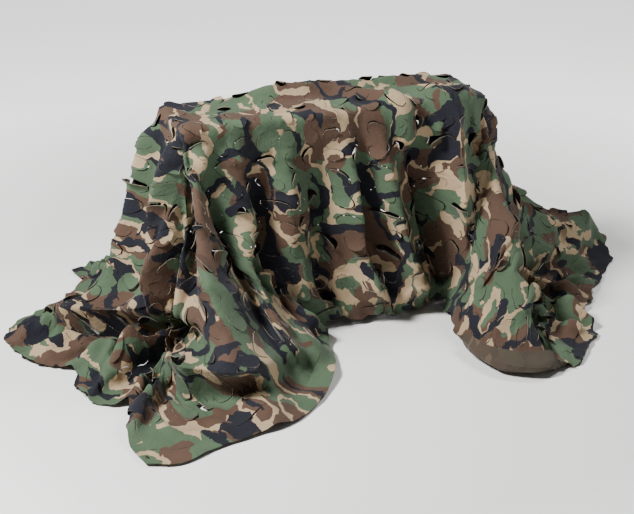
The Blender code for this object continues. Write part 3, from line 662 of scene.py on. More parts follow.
def sample(grid, s, t):
    """Smooth value at (s, t) of a grid that covers the whole sheet.  The grid is carried one
    cell past its rim in a straight line, so that the surface reaches the very edge."""
    wide = np.pad(grid, [(2, 2), (2, 2)] + [(0, 0)] * (grid.ndim - 2), mode="reflect",
                  reflect_type="odd")
    rows, columns = grid.shape[:2]
    u = (s - S_MIN) / SHEET_LENGTH * (columns - 1)
    v = (t - T_MIN) / SHEET_WIDTH * (rows - 1)
    i = np.clip(np.floor(u).astype(int), 0, columns - 2)
    j = np.clip(np.floor(v).astype(int), 0, rows - 2)
    wu, wv = spline_weights(u - i), spline_weights(v - j)
    total = 0
    for dj in range(4):
        for di in range(4):
            weight = (wv[dj] * wu[di]).reshape(s.shape + (1,) * (grid.ndim - 2))
            total = total + weight * wide[j + dj + 1, i + di + 1]
    return total


def surface(s, t, reach=0.003):
    """Point and unit normal of the settled cloth, from points a little to each side."""
    point = sample(settled, s, t)
    along = sample(settled, s + reach, t) - sample(settled, s - reach, t)
    across = sample(settled, s, t + reach) - sample(settled, s, t - reach)
    normal = np.cross(along, across)
    size = np.linalg.norm(normal, axis=-1, keepdims=True)
    return point, normal / np.maximum(size, 1e-12)


print("middle of the table top", surface(np.zeros(1), np.zeros(1))[0].round(3))

# %% [markdown]
# ## The turned-back hem
# The part of the hem that is turned back must not cut the cloth it lies on.  So it is
# placed from that cloth: round a half circle, and then back two radii above it.

# %% Turn the hem back
def turned_over(s, t, past):
    """Where the turned-back hem lies on the settled cloth.  A point `past` the fold goes
    round a half circle of radius ROLL and then back over the cloth as far inside the fold,
    two radii above it along that cloth's own normal."""
    ray = np.stack(from_core(s, t), -1)
    ray /= np.linalg.norm(ray, axis=-1, keepdims=True)
    back = past + np.maximum(past - np.pi * ROLL, 0)
    under_s, under_t = s - ray[:, 0] * back, t - ray[:, 1] * back
    point, normal = surface(under_s, under_t, reach=0.03)
    out = point - sample(settled, under_s - 0.02 * ray[:, 0], under_t - 0.02 * ray[:, 1])
    out /= np.linalg.norm(out, axis=-1, keepdims=True)
    arc = np.clip(past / ROLL, 0, np.pi)[:, None]
    return point + ROLL * (np.sin(arc) * out + (1 - np.cos(arc)) * normal)


past_fold = laid_past > 1e-6
over = turned_over(base_s[past_fold], base_t[past_fold], laid_past[past_fold])
over[:, 2] = np.maximum(over[:, 2], REST)
print("turned back", past_fold.sum(), "grid points, moved up to",
      round(float(np.abs(over - settled[past_fold]).max()), 3), "m")
settled[past_fold] = over

# %% [markdown]
# ## Small creases
# Thin woven polyester never lies quite smooth.  Random values on coarse grids, sampled with
# the same splines, give soft dents.  Folding them at zero, as |value|, gives sharp creases.

# %% Crumple
def noise_grid(cell):
    """Random values from -1 to 1 on a grid of about that cell size, in metres."""
    return rng.uniform(-1, 1, (int(SHEET_WIDTH / cell) + 2, int(SHEET_LENGTH / cell) + 2))


DENTS = [(noise_grid(0.11), 0.009), (noise_grid(0.055), 0.005)]
CREASES = [(noise_grid(0.15), 0.016), (noise_grid(0.07), 0.009)]


def crumple(s, t):
    """Small height over the smooth cloth: dents plus creases."""
    soft = sum(size * sample(grid, s, t) for grid, size in DENTS)
    sharp = sum(size * (0.22 - np.abs(sample(grid, s, t))) for grid, size in CREASES)
    return soft + sharp


print("crumple", crumple(base_s, base_t).std().round(4))

# %% [markdown]
# ## Cutting the leaves
# The field is divided into square cells of about 73 mm.  Each cell has one curved cut
# that frees a leaf and leaves it joined by a hinge.  One mesh pattern serves every cell:
# rings of points from the leaf's middle, through the cut, to the edge of the cell, with the
# points of the cut doubled.  All cells are worked out at once as arrays.

# %% Cell pattern
BORDER = 0.120              # uncut band round the field, hem included
CELLS_S, CELLS_T = 38, 24
SIDES = 20                  # points round a cell
cell_s = (SHEET_LENGTH - 2 * BORDER) / CELLS_S
cell_t = (SHEET_WIDTH - 2 * BORDER) / CELLS_T
per_side = SIDES // 4
ramp = np.arange(per_side) / per_side - 0.5
rim_s = np.concatenate([ramp, np.full(per_side, 0.5), -ramp, np.full(per_side, -0.5)])
rim_t = np.concatenate([np.full(per_side, -0.5), ramp, np.full(per_side, 0.5), -ramp])
rim_angle = np.arctan2(rim_t, rim_s)
print("cell", round(cell_s * 1000, 1), "x", round(cell_t * 1000, 1), "mm")

# %% Leaves
ci, cj = (a.ravel() for a in np.meshgrid(np.arange(CELLS_S), np.arange(CELLS_T)))
count = len(ci)
middle_s = S_MIN + BORDER + (ci + 0.5) * cell_s
middle_t = T_MIN + BORDER + (cj + 0.5) * cell_t
leaf_s = middle_s + rng.uniform(-0.05, 0.05, count) * cell_s
leaf_t = middle_t + rng.uniform(-0.05, 0.05, count) * cell_t
long_half = rng.uniform(0.34, 0.43, count)      # of the cell
short_half = rng.uniform(0.26, 0.36, count)
turned = rng.uniform(0, np.pi, count)
lobes = rng.uniform(0.00, 0.16, count)


def cut_radius(angle):
    """Radius of the cut: an oval with three soft lobes, in cells."""
    a = angle[None] - turned[:, None]
    oval = (long_half * short_half)[:, None] / np.hypot(short_half[:, None] * np.cos(a),
                                                         long_half[:, None] * np.sin(a))
    return oval * (1 + lobes[:, None] * np.cos(3 * a + 1.3))


radius = np.minimum(cut_radius(rim_angle), 0.44)
ring_s = radius * np.cos(rim_angle) * cell_s     # the cut, from the leaf's middle
ring_t = radius * np.sin(rim_angle) * cell_t
print(count, "leaves,", round(float(radius.mean()) * 2 * cell_s * 1000), "mm across")

# %% [markdown]
# A leaf hangs by its hinge.  Where the tip points down it stays close to the cloth, and
# where the tip points up it falls open and shows its dull back.  So gravity's direction
# on each cell decides how far the leaf bends.

# %% Hinges and bends
HINGE_HALF = 0.62           # half the hinge's angle, radians
LEAST_BEND, MOST_BEND, TABLE_BEND, PRESSED_BEND = 0.06, 1.4, 0.55, 0.12     # radians
PRESSED_IN = 0.20           # leaves this far inside the turned hem's fold lie under it
STEP = 0.01                 # to each side, for the slope under a leaf
down_s = -(sample(settled, leaf_s + STEP, leaf_t)
           - sample(settled, leaf_s - STEP, leaf_t))[:, 2] / (2 * STEP)
down_t = -(sample(settled, leaf_s, leaf_t + STEP)
           - sample(settled, leaf_s, leaf_t - STEP))[:, 2] / (2 * STEP)
steep = np.minimum(np.hypot(down_s, down_t), 1.0)
tip_angle = (np.where((ci + cj) % 2 == 0, -0.5, 0.5) * np.pi + rng.normal(0, 0.75, count)
             + np.where(cj % 3 == 0, 0.9, 0.0))
tip_s, tip_t = np.cos(tip_angle), np.sin(tip_angle)
hangs = (tip_s * down_s + tip_t * down_t) / np.maximum(np.hypot(down_s, down_t), 1e-6) * steep
bend = rng.gamma(1.1, 0.32, count) * (1 - 0.45 * hangs) + 0.10
over_table = (np.abs(leaf_s) < TABLE_LENGTH / 2 + 0.1) & (np.abs(leaf_t) < TABLE_DEPTH / 2 + 0.06)
bend = np.clip(bend, LEAST_BEND, np.where(over_table, TABLE_BEND, MOST_BEND))
_, _, leaf_past, leaf_turn = hang(leaf_s, leaf_t)
pressed = (leaf_turn > 0.01) & (leaf_past > -PRESSED_IN)
bend = np.where(pressed, np.minimum(bend, PRESSED_BEND), bend)
from_hinge = np.abs(np.angle(np.exp(1j * (rim_angle[None] - tip_angle[:, None] - np.pi))))
hinge = from_hinge < HINGE_HALF
hinge[np.arange(count), from_hinge.argmin(1)] = True
hinge_line = np.where(hinge, ring_s * tip_s[:, None] + ring_t * tip_t[:, None], -9).max(1)
leaf_length = np.maximum((ring_s * tip_s[:, None] + ring_t * tip_t[:, None]).max(1)
                         - hinge_line, 0.01)
print("bend", np.percentile(bend, [5, 50, 95]).round(2), "rad")


def bent(ps, pt):
    """A leaf's points (from its middle) after bending: distance d past the hinge goes round
    a circle, to sin(k d) / k along and (1 - cos(k d)) / k up, with k = bend / length."""
    d = np.maximum(ps * tip_s[:, None] + pt * tip_t[:, None] - hinge_line[:, None], 0)
    k = (bend / leaf_length)[:, None]
    shift = np.sin(k * d) / k - d
    return ps + shift * tip_s[:, None], pt + shift * tip_t[:, None], (1 - np.cos(k * d)) / k


# %% Points of every cell
GAP = 0.0007                # half the width of the cut
parts_s, parts_t, parts_lift = [], [], []
for share in (0.0, 0.42, 0.76, 1.0):
    ps, pt = ring_s * share, ring_t * share
    if share == 0.0:
        ps, pt = ps[:, :1], pt[:, :1]
    if share == 1.0:
        inwards = np.where(hinge, 1.0, 1 - GAP / np.hypot(ring_s, ring_t))
        ps, pt = ps * inwards, pt * inwards
    bs, bt, lift = bent(ps, pt)
    parts_s.append(leaf_s[:, None] + bs)
    parts_t.append(leaf_t[:, None] + bt)
    parts_lift.append(lift)
outwards = np.where(hinge, 1.0, 1 + GAP / np.hypot(ring_s, ring_t))
lip = np.where(hinge, 0.0, rng.normal(0.0006, 0.0014, (count, 1)))
edge_s, edge_t = leaf_s[:, None] + ring_s * outwards, leaf_t[:, None] + ring_t * outwards
cell_rim_s = middle_s[:, None] + rim_s * cell_s
cell_rim_t = middle_t[:, None] + rim_t * cell_t
parts_s += [edge_s, (edge_s + cell_rim_s) / 2]
parts_t += [edge_t, (edge_t + cell_rim_t) / 2]
parts_lift += [lip, lip * 0.4]
width = 1 + 5 * SIDES
inner_s = np.concatenate(parts_s, 1)
inner_t = np.concatenate(parts_t, 1)
inner_lift = np.concatenate([np.broadcast_to(p, q.shape) for p, q in zip(parts_lift, parts_s)], 1)
print("points inside the cells", inner_s.size)

# %% [markdown]
# The cells share their edges, and the plain band round them continues the same grid lines.
# So the points on grid lines are made once, for the whole sheet, and the cells look them up.

# %% Grid lines of the whole field
band = np.linspace(0, BORDER - HEM_WIDTH, 6)
line_s = np.concatenate([S_MIN + HEM_WIDTH + band[:-1],
                         np.linspace(S_MIN + BORDER, S_MAX - BORDER, CELLS_S * per_side + 1),
                         S_MAX - HEM_WIDTH - band[::-1][1:]])
line_t = np.concatenate([T_MIN + HEM_WIDTH + band[:-1],
                         np.linspace(T_MIN + BORDER, T_MAX - BORDER, CELLS_T * per_side + 1),
                         T_MAX - HEM_WIDTH - band[::-1][1:]])
lattice_s, lattice_t = np.meshgrid(line_s, line_t)
lattice = np.arange(lattice_s.size).reshape(lattice_s.shape)
skip = len(band) - 1
rim_col = np.round((rim_s + 0.5) * per_side).astype(int)
rim_row = np.round((rim_t + 0.5) * per_side).astype(int)
rim_index = lattice[skip + cj[:, None] * per_side + rim_row,
                    skip + ci[:, None] * per_side + rim_col]
all_s = np.concatenate([lattice_s.ravel(), inner_s.ravel()])
all_t = np.concatenate([lattice_t.ravel(), inner_t.ravel()])
all_lift = np.concatenate([np.zeros(lattice_s.size), inner_lift.ravel()])
print("grid lines", lattice_s.shape, "points in all", all_s.size)

# %% Faces of the field
start = lattice_s.size + np.arange(count)[:, None] * width
centre = start[:, 0]
ring = [start + 1 + n * SIDES + np.arange(SIDES) for n in range(5)]
ring[3] = np.where(hinge, ring[2], ring[3])      # the leaf is joined at its hinge


def strip(inner, outer):
    """Quads between two rings of points, for every cell."""
    return np.stack([inner, outer, np.roll(outer, -1, 1), np.roll(inner, -1, 1)], -1)


fans = np.stack([np.broadcast_to(centre[:, None], ring[0].shape), ring[0],
                 np.roll(ring[0], -1, 1)], -1)
quads = np.concatenate([strip(ring[0], ring[1]), strip(ring[1], ring[2]),
                        strip(ring[3], ring[4]), strip(ring[4], rim_index)], 1)
cell_tris = np.concatenate([fans, as_triangles(quads)], 1)
squares = grid_quads(lattice)
plain = np.ones(squares.shape[:2], bool)
plain[skip:-skip, skip:-skip] = False
band_tris = as_triangles(squares[plain])
print("triangles", cell_tris.shape[0] * cell_tris.shape[1] + len(band_tris))

# %% [markdown]
# ## Giving the cloth its thickness
# A sheet with no thickness shows no edge, and the pale raw edge of each cut is what makes a
# leaf stand out.  So every point gets a partner one thickness away along its normal, and
# quads join the two layers along every cut and hem.

# %% Thickness
CLOTH_THICKNESS = 0.0010
LOWEST = 0.0006             # nothing lies below this


def point_normals(points, tris):
    """Unit normal of each point: the sum of its triangles' area vectors."""
    a, b, c = (points[tris[:, k]] for k in range(3))
    area = np.cross(b - a, c - a)
    normal = np.stack([sum(np.bincount(tris[:, k], area[:, axis], len(points))
                           for k in range(3)) for axis in range(3)], -1)
    return normal / np.maximum(np.linalg.norm(normal, axis=1, keepdims=True), 1e-12)


def open_edges(tris, size):
    """Directed edges that only one triangle uses, as pairs of points."""
    pairs = np.concatenate([tris[:, [0, 1]], tris[:, [1, 2]], tris[:, [2, 0]]]).astype(np.int64)
    forward, back = pairs[:, 0] * size + pairs[:, 1], pairs[:, 1] * size + pairs[:, 0]
    return pairs[~np.isin(forward, back)]


def thick_piece(name, lower, upper, flat, tris, raw, materials):
    """Closed piece of cloth: upper layer, lower layer and a wall along each open edge.
    raw holds the edges whose wall is a raw cut edge; other walls only meet a neighbour."""
    size = len(lower)
    edges = open_edges(tris, size)
    is_raw = np.isin(edges[:, 0] * size + edges[:, 1], raw)
    wall = np.stack([edges[:, 0], edges[:, 1], edges[:, 1] + size, edges[:, 0] + size], -1)
    faces = np.concatenate([tris + size, tris[:, ::-1], as_triangles(wall)])
    slots = np.concatenate([np.zeros(len(tris)), np.ones(len(tris)),
                            np.where(np.tile(is_raw, 2), 2, 0)]).astype(np.int32)
    used, faces = np.unique(faces, return_inverse=True)
    points = np.concatenate([lower, upper])[used]
    mesh = bpy.data.meshes.new(name)
    mesh.from_pydata(points, [], faces.reshape(-1, 3))
    uv = mesh.uv_layers.new(name="print")
    at = sample(printed_at, flat[:, 0], flat[:, 1])
    both = np.concatenate([at, at])[used]
    uv.data.foreach_set("uv", both[faces.reshape(-1)].astype(np.float32).ravel())
    for material in materials:
        mesh.materials.append(material)
    mesh.polygons.foreach_set("material_index", slots)
    mesh.shade_smooth()
    mesh.set_sharp_from_angle(angle=math.radians(55))
    print(name, len(mesh.polygons), "triangles")
    return new_object(name, mesh)


# %% Place every point of the field
field_point, field_normal = surface(all_s, all_t)
off_floor = np.clip((field_point[:, 2] - 0.004) / 0.03, 0, 1)
trailing = 1 + 0.4 * (1 - ease((field_point[:, 2] - 0.10) / 0.15))
height = crumple(all_s, all_t) * (0.35 + 0.65 * off_floor) * trailing
_, _, field_past, field_turn = hang(all_s, all_t)
height *= 1 - 0.7 * ease(field_turn / 0.05) * (field_past > -0.16)      # flatter in the turn
near_table = ((np.abs(field_point[:, 0]) < TABLE_LENGTH / 2 + 0.03) & (field_point[:, 2] > 0.6)
              & (np.abs(field_point[:, 1]) < TABLE_DEPTH / 2 + 0.03))
height = np.where(near_table, np.abs(height) * 0.6, height) + np.maximum(all_lift, -0.002)
field_lower = field_point + field_normal * height[:, None]
over_top = ((np.abs(field_lower[:, 0]) < TABLE_LENGTH / 2) & (field_lower[:, 2] > 0.69)
            & (np.abs(field_lower[:, 1]) < TABLE_DEPTH / 2))
field_lower[:, 2] = np.where(over_top, np.maximum(field_lower[:, 2], TABLE_HEIGHT + 0.001),
                             field_lower[:, 2])
field_lower[:, 2] = np.maximum(field_lower[:, 2], LOWEST)
field_lower = clear_of_legs(field_lower, LEG_ROOM_AT_END) + TABLE_MIDDLE
every_tri = np.concatenate([cell_tris.reshape(-1, 3), band_tris])
field_upper = field_lower + point_normals(field_lower, every_tri) * CLOTH_THICKNESS
field_upper[:, 2] = np.maximum(field_upper[:, 2], LOWEST)
print("field", field_lower.min(0).round(3), field_upper.max(0).round(3))

# %% [markdown]
# ## Colours and finishes
# The cloth is woven printed polyester: matt, with a woodland print of four inks in crisp
# blobs and branches.  Its back is the same cloth, where little ink comes through.

# %% Material helpers
def to_linear(hex_colour):
    """sRGB hex to linear red, green, blue and alpha."""
    rgb = np.array([int(hex_colour[k:k + 2], 16) for k in (1, 3, 5)]) / 255
    return (*np.where(rgb <= 0.04045, rgb / 12.92, ((rgb + 0.055) / 1.055) ** 2.4), 1.0)


def add_node(tree, kind, values=None, links=None, **settings):
    """Adds a shader node, sets its properties and input values, and links its inputs."""
    node = tree.nodes.new("ShaderNode" + kind)
    for key, value in settings.items():
        setattr(node, key, value)
    for key, value in (values or {}).items():
        node.inputs[key].default_value = value
    for key, socket in (links or {}).items():
        tree.links.new(socket, node.inputs[key])
    return node


def mixed(tree, factor, first, second):
    """Mix of two colours.  Each argument is a value or another node's output."""
    node = add_node(tree, "Mix", data_type="RGBA")
    for slot, value in ((0, factor), (6, first), (7, second)):
        if isinstance(value, bpy.types.NodeSocket):
            tree.links.new(value, node.inputs[slot])
        else:
            node.inputs[slot].default_value = value
    return node.outputs[2]


def new_material(name, values):
    """A material with only its shader and output, and its node tree and shader.  The values
    are the shader's inputs."""
    material = bpy.data.materials.new(name)
    material.use_nodes = True
    shader = material.node_tree.nodes["Principled BSDF"]
    for key, value in values.items():
        shader.inputs[key].default_value = value
    return material, material.node_tree, shader


INK = {"leaf green": "#445540", "bark brown": "#4b382c", "dry khaki": "#9e896c",
       "night navy": "#13141d"}
REVERSE_COLOUR, REVERSE_SHARE = "#3f352b", 0.90     # the rest of it is ink from the front
print({name: np.round(to_linear(value)[:3], 3) for name, value in INK.items()})

# %% [markdown]
# ### The woodland print
# Each ink is a smooth random field cut off at a level, so its edge is crisp and wavy.  The
# branches of khaki and navy come from the middle band of a field, |value - 0.5| < width,
# which winds and forks.  A finer field first shakes the coordinates, which gives the
# edges their lobes.

# %% Print
def build_print(tree, uv):
    """Nodes for the woodland print on flat coordinates in metres; returns its colour."""
    shake = add_node(tree, "TexNoise", {"Scale": 24.0, "Detail": 2.0, "Roughness": 0.5},
                     {"Vector": uv})
    centred = add_node(tree, "VectorMath", {1: (0.5, 0.5, 0.5)}, {0: shake.outputs["Color"]},
                       operation="SUBTRACT")
    moved = add_node(tree, "VectorMath", {1: (0.050, 0.050, 0.0)},
                     {0: centred.outputs[0], 2: uv}, operation="MULTIPLY_ADD")

    def field(offset, scale, detail=1.0, stretch=(1.25, 0.75)):
        place = add_node(tree, "Mapping",
                         {"Location": (offset, offset * 0.7, 0.0), "Scale": (*stretch, 1.0)},
                         {"Vector": moved.outputs[0]})
        noise = add_node(tree, "TexNoise",
                         {"Scale": scale, "Detail": detail, "Roughness": 0.45},
                         {"Vector": place.outputs[0]})
        return noise.outputs["Fac"]

    def above(value, level):
        return add_node(tree, "Math", {1: level}, {0: value}, operation="GREATER_THAN").outputs[0]

    def near_half(value, width):
        return add_node(tree, "Math", {1: 0.5, 2: width}, {0: value},
                        operation="COMPARE").outputs[0]

    def both(a, b):
        return add_node(tree, "Math", None, {0: a, 1: b}, operation="MULTIPLY").outputs[0]

    def either(a, b):
        return add_node(tree, "Math", None, {0: a, 1: b}, operation="MAXIMUM").outputs[0]

    def over(mask, under, ink):
        return mixed(tree, mask, under, to_linear(INK[ink]))

    green = add_node(tree, "RGB")
    green.outputs[0].default_value = to_linear(INK["leaf green"])
    brown = above(field(3.0, 6.0, 1.0, (1.2, 0.8)), 0.51)
    khaki = either(both(near_half(field(11.0, 6.4, 1.0), 0.031), above(field(17.0, 5.4), 0.47)),
                   above(field(23.0, 8.5, 1.0), 0.66))
    navy = either(both(near_half(field(31.0, 6.2, 1.0), 0.044), above(field(37.0, 5.0), 0.48)),
                  above(field(41.0, 8.5, 1.0), 0.67))
    colour = over(brown, green.outputs[0], "bark brown")
    colour = over(khaki, colour, "dry khaki")
    return over(navy, colour, "night navy")


# %% Cloth materials
def cloth_material(name, reverse=False):
    """Woven printed polyester: matt, with a faint sheen of loose fibres."""
    material, tree, shader = new_material(name, {
        "Roughness": 0.82, "Specular IOR Level": 0.25, "Sheen Weight": 0.06,
        "Sheen Roughness": 0.5})
    uv = add_node(tree, "UVMap", uv_map="print").outputs[0]
    colour = build_print(tree, uv)
    if reverse:
        colour = mixed(tree, REVERSE_SHARE, colour, to_linear(REVERSE_COLOUR))
    # faded and dusty patches a hand wide
    patch = add_node(tree, "TexNoise", {"Scale": 9.0, "Detail": 3.0}, {"Vector": uv})
    fade = add_node(tree, "MapRange", {"From Min": 0.3, "From Max": 0.7, "To Min": 0.88,
                                       "To Max": 1.12}, {"Value": patch.outputs["Fac"]})
    shade = add_node(tree, "VectorMath", None, {0: colour, 1: fade.outputs[0]},
                     operation="MULTIPLY")
    tree.links.new(shade.outputs[0], shader.inputs["Base Color"])
    # thread spacing of the real cloth is 0.4 mm; drawn at 3 mm so that it shows at all
    weave_s = add_node(tree, "TexWave", {"Scale": 105.0}, {"Vector": uv}, bands_direction="X")
    weave_t = add_node(tree, "TexWave", {"Scale": 105.0}, {"Vector": uv}, bands_direction="Y")
    weave = add_node(tree, "Math", None, {0: weave_s.outputs["Fac"], 1: weave_t.outputs["Fac"]},
                     operation="MULTIPLY")
    crease = add_node(tree, "TexNoise", {"Scale": 55.0, "Detail": 4.0, "Distortion": 0.8},
                      {"Vector": uv})
    fine = add_node(tree, "Bump", {"Strength": 0.10, "Distance": 0.0008},
                    {"Height": weave.outputs[0]})
    bump = add_node(tree, "Bump", {"Strength": 0.45, "Distance": 0.006},
                    {"Height": crease.outputs["Fac"], "Normal": fine.outputs[0]})
    tree.links.new(bump.outputs[0], shader.inputs["Normal"])
    return material


def raw_edge_material(name):
    """Cut threads of undyed polyester: pale, matt and slightly uneven."""
    material, tree, shader = new_material(name, {"Roughness": 0.9})
    uv = add_node(tree, "UVMap", uv_map="print").outputs[0]
    fray = add_node(tree, "TexNoise", {"Scale": 160.0, "Detail": 2.0}, {"Vector": uv})
    threads = mixed(tree, fray.outputs["Fac"], to_linear("#63584a"), to_linear("#b9ad97"))
    tree.links.new(threads, shader.inputs["Base Color"])
    return material


PRINTED = cloth_material("woven printed polyester")
REVERSE = cloth_material("woven polyester reverse", reverse=True)
RAW_EDGE = raw_edge_material("cut polyester edge")
CLOTH = [PRINTED, REVERSE, RAW_EDGE]
print("cloth materials", [m.name for m in CLOTH])

# %% [markdown]
# ## The field in four pieces
# One mesh of the whole field would be heavy, so it is split along grid lines into four
# pieces that meet exactly, each with its own share of the flat sheet.

# %% Field pieces
flat_all = np.stack([all_s, all_t], -1)
mid_s, mid_t = S_MIN + BORDER + CELLS_S // 2 * cell_s, T_MIN + BORDER + CELLS_T // 2 * cell_t
tri_s, tri_t = all_s[every_tri].mean(1), all_t[every_tri].mean(1)
cell_side = np.repeat(np.stack([ci >= CELLS_S // 2, cj >= CELLS_T // 2], -1),
                      cell_tris.shape[1], axis=0)
tri_side = np.concatenate([cell_side, np.stack([tri_s, tri_t], -1)[len(cell_side):]
                           > (mid_s, mid_t)])
raw_edges = open_edges(every_tri, len(all_s))
raw_edges = raw_edges[:, 0] * len(all_s) + raw_edges[:, 1]
for name, right, back in (("net_front_left", 0, 0), ("net_front_right", 1, 0),
                          ("net_back_left", 0, 1), ("net_back_right", 1, 1)):
    here = (tri_side[:, 0] == right) & (tri_side[:, 1] == back)
    piece = thick_piece(name, field_lower, field_upper, flat_all, every_tri[here], raw_edges,
                        CLOTH)
    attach(piece, "root")
    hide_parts("net_field")

# %% [markdown]
# ## The hem
# The border's rim is folded over twice and stitched, so it is a little thicker for its
# first 14 mm.  Its corner squares have the eyelets' holes: the same ring pattern as a
# leaf's cell, with a round hole in place of the leaf.

# %% Hem grid
ACROSS = 6
rows = np.linspace(0, HEM_WIDTH, ACROSS + 1)
SEAM = 0.0004               # gap between the hem and the field
rows[-1] -= SEAM
hem_s, hem_t = (np.concatenate([low + rows, np.linspace(low + HEM_WIDTH, high - HEM_WIDTH, n)[1:-1],
                                high - rows[::-1]])
                for low, high, n in ((S_MIN, S_MAX, 196), (T_MIN, T_MAX, 131)))
hem_grid_s, hem_grid_t = np.meshgrid(hem_s, hem_t)
hem_index = np.arange(hem_grid_s.size).reshape(hem_grid_s.shape)
hem_squares = grid_quads(hem_index)
n_rows, n_columns = hem_squares.shape[:2]
j, i = np.mgrid[:n_rows, :n_columns]
edge_j, edge_i = np.minimum(j, n_rows - 1 - j), np.minimum(i, n_columns - 1 - i)
in_strip = (edge_j < ACROSS) ^ (edge_i < ACROSS)      # the four corners are made apart
hem_tris = as_triangles(hem_squares[in_strip])
print("hem grid", hem_index.shape, "triangles", len(hem_tris))

# %% Hem corners with eyelet holes
HOLE, HOLE_RIM = 0.0062, 0.0130     # radius of an eyelet's hole, and of a ring round it
walk = np.concatenate([[(0, k) for k in range(ACROSS)], [(k, ACROSS) for k in range(ACROSS)],
                       [(ACROSS, ACROSS - k) for k in range(ACROSS)],
                       [(ACROSS - k, 0) for k in range(ACROSS)]])
hem_flat = [np.stack([hem_grid_s.ravel(), hem_grid_t.ravel()], -1)]
total = hem_grid_s.size
for (es, et), (j0, i0) in zip(EYELETS, ((0, 0), (0, n_columns - ACROSS),
                                        (n_rows - ACROSS, n_columns - ACROSS),
                                        (n_rows - ACROSS, 0))):
    outer = hem_index[j0 + walk[:, 0], i0 + walk[:, 1]]
    away = hem_flat[0][outer] - (es, et)
    unit = away / np.linalg.norm(away, axis=1, keepdims=True)
    rings = [outer]
    for reach_out in (HOLE_RIM, HOLE):
        hem_flat.append((es, et) + unit * reach_out)
        rings.append(total + np.arange(len(outer)))
        total += len(outer)
    for outside, inside in zip(rings[:-1], rings[1:]):
        quad = np.stack([outside, np.roll(outside, -1), np.roll(inside, -1), inside], -1)
        hem_tris = np.concatenate([hem_tris, as_triangles(quad)])
hem_flat = np.concatenate(hem_flat)
hem_point, hem_normal = surface(hem_flat[:, 0], hem_flat[:, 1])
hem_height = crumple(hem_flat[:, 0], hem_flat[:, 1]) * 0.35
hem_height *= ease((from_eyelet(hem_flat[:, 0], hem_flat[:, 1]) - 0.02) / 0.04)
hem_lower = hem_point + hem_normal * hem_height[:, None]
hem_lower[:, 2] = np.maximum(hem_lower[:, 2], LOWEST)
hem_lower += TABLE_MIDDLE
from_rim = from_hem(hem_flat[:, 0], hem_flat[:, 1])
hem_thick = CLOTH_THICKNESS + 0.0012 * (1 - ease((from_rim - 0.011) / 0.005))
hem_upper = hem_lower + point_normals(hem_lower, hem_tris) * hem_thick[:, None]
no_raw_edges = np.zeros(0, np.int64)
hem = thick_piece("net_hem", hem_lower, hem_upper, hem_flat, hem_tris, no_raw_edges, CLOTH)
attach(hem, "root")
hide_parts("hem_strip")

# %% [markdown]
# ## Eyelets and table
# The eyelets are nickel-plated brass and keep the solid model's turned shape.  The table
# hardly shows; it is plain wood with a stain made nearly black as painted shade, so that
# where it shows through the cuts it reads as the shade under the net.

# %% Eyelet metal
def plated_metal(name):
    """Nickel plate on brass: grey, a little warm, dulled by fine scratches."""
    material, tree, shader = new_material(name, {"Base Color": to_linear("#c9c4b8"),
                                                 "Metallic": 1.0})
    place = add_node(tree, "TexCoord").outputs["Object"]
    scratch = add_node(tree, "TexNoise", {"Scale": 900.0, "Detail": 3.0}, {"Vector": place})
    rough = add_node(tree, "MapRange", {"To Min": 0.22, "To Max": 0.45},
                     {"Value": scratch.outputs["Fac"]})
    tree.links.new(rough.outputs[0], shader.inputs["Roughness"])
    return material


def shade_dark_wood(name):
    """Wood stained nearly black as painted shade under the net, with its rings stretched into long
    grain.
    """
    material, tree, shader = new_material(name, {"Roughness": 0.5})
    place = add_node(tree, "TexCoord").outputs["Object"]
    along = add_node(tree, "Mapping", {"Scale": (1.2, 14.0, 9.0)}, {"Vector": place})
    grain = add_node(tree, "TexWave", {"Scale": 2.2, "Distortion": 6.0, "Detail": 3.0},
                     {"Vector": along.outputs[0]}, bands_direction="Y")
    # painted shade: the stain is nearly black so that the table, seen through the cuts, reads as
    # the shade under the net
    stain = mixed(tree, grain.outputs["Fac"], to_linear("#2b241e"), to_linear("#3a3028"))
    tree.links.new(stain, shader.inputs["Base Color"])
    bump = add_node(tree, "Bump", {"Strength": 0.15, "Distance": 0.0006},
                    {"Height": grain.outputs["Fac"]})
    tree.links.new(bump.outputs[0], shader.inputs["Normal"])
    return material


NICKEL = plated_metal("nickel-plated brass")
SHADE_DARK_WOOD = shade_dark_wood("wood stained dark as painted shade")
for name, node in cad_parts.items():
    if name.startswith("eyelet"):
        node.material_slots[0].material = NICKEL
    elif name.startswith("table"):
        node.material_slots[0].material = SHADE_DARK_WOOD
print("finished CAD nodes", sorted(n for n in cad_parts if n.startswith(("eyelet", "table"))))

# %% [markdown]
# ## Floor, light and camera
# A pale floor that glows beyond the cloth, a strong light high on the left, a weaker one
# high on the right, a faint one in front and a dim even surround.

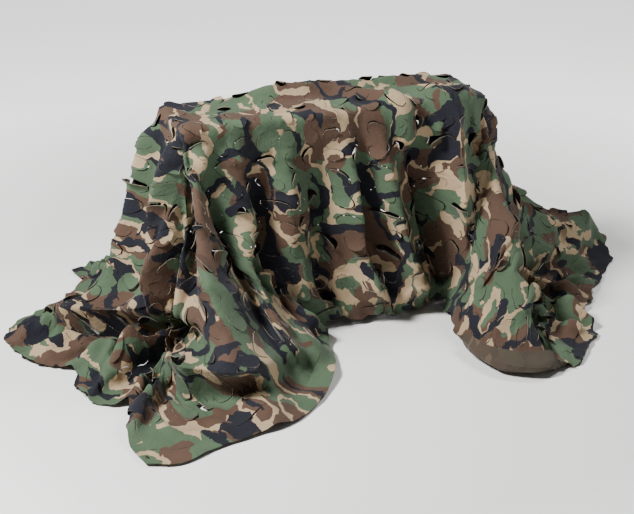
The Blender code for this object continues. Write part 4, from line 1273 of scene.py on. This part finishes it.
# %% Floor and lights
def floor_mesh(name, half, z):
    """A flat square."""
    mesh = bpy.data.meshes.new(name)
    mesh.from_pydata([(-half, -half, z), (half, -half, z), (half, half, z), (-half, half, z)],
                     [], [(0, 1, 2, 3)])
    return new_object(name, mesh)


floor = floor_mesh("floor", 30.0, -0.0005)
pale, tree, shader = new_material("pale studio floor", {
    "Base Color": to_linear("#f2f1ef"), "Roughness": 0.9, "Emission Color": (1, 1, 1, 1)})
place = add_node(tree, "TexCoord").outputs["Object"]
away = add_node(tree, "VectorMath", None, {0: place}, operation="LENGTH").outputs["Value"]
glow = add_node(tree, "MapRange", {"From Min": 1.3, "From Max": 2.6, "To Max": 1.2},
                {"Value": away})
tree.links.new(glow.outputs[0], shader.inputs["Emission Strength"])
floor.data.materials.append(pale)


def area_light(name, place, aim, size, power):
    """A square soft light at place, facing aim."""
    data = bpy.data.lights.new(name, "AREA")
    data.energy, data.size = power, size
    light = new_object(name, data)
    light.location = place
    light.rotation_euler = (Vector(aim) - Vector(place)).to_track_quat("-Z", "Y").to_euler()


for light in (("key", (-2.8, -0.7, 3.3), (0.0, 0.0, 0.3), 0.8, 360),
              ("top right", (2.2, 0.2, 3.2), (0.4, 0.0, 0.2), 1.2, 85),
              ("fill", (2.0, -3.0, 2.0), (0.0, 0.0, 0.3), 2.0, 5)):
    area_light(*light)
world = bpy.data.worlds.new("even surround")
world.use_nodes = True
world.node_tree.nodes["Background"].inputs["Color"].default_value = (1, 1, 1, 1)
world.node_tree.nodes["Background"].inputs["Strength"].default_value = 0.08
bpy.context.scene.world = world

# %% Camera
YAW, PITCH = math.radians(21.76), math.radians(23.25)
camera = new_object("camera", bpy.data.cameras.new("camera"))
camera.data.lens = 75.0
camera.data.sensor_width = 36.0
camera.location = TABLE_MIDDLE + (-1.534, -3.779, 1.930)
view = Vector((math.sin(YAW) * math.cos(PITCH), math.cos(YAW) * math.cos(PITCH),
               -math.sin(PITCH)))
camera.rotation_euler = view.to_track_quat("-Z", "Y").to_euler()
bpy.context.scene.camera = camera
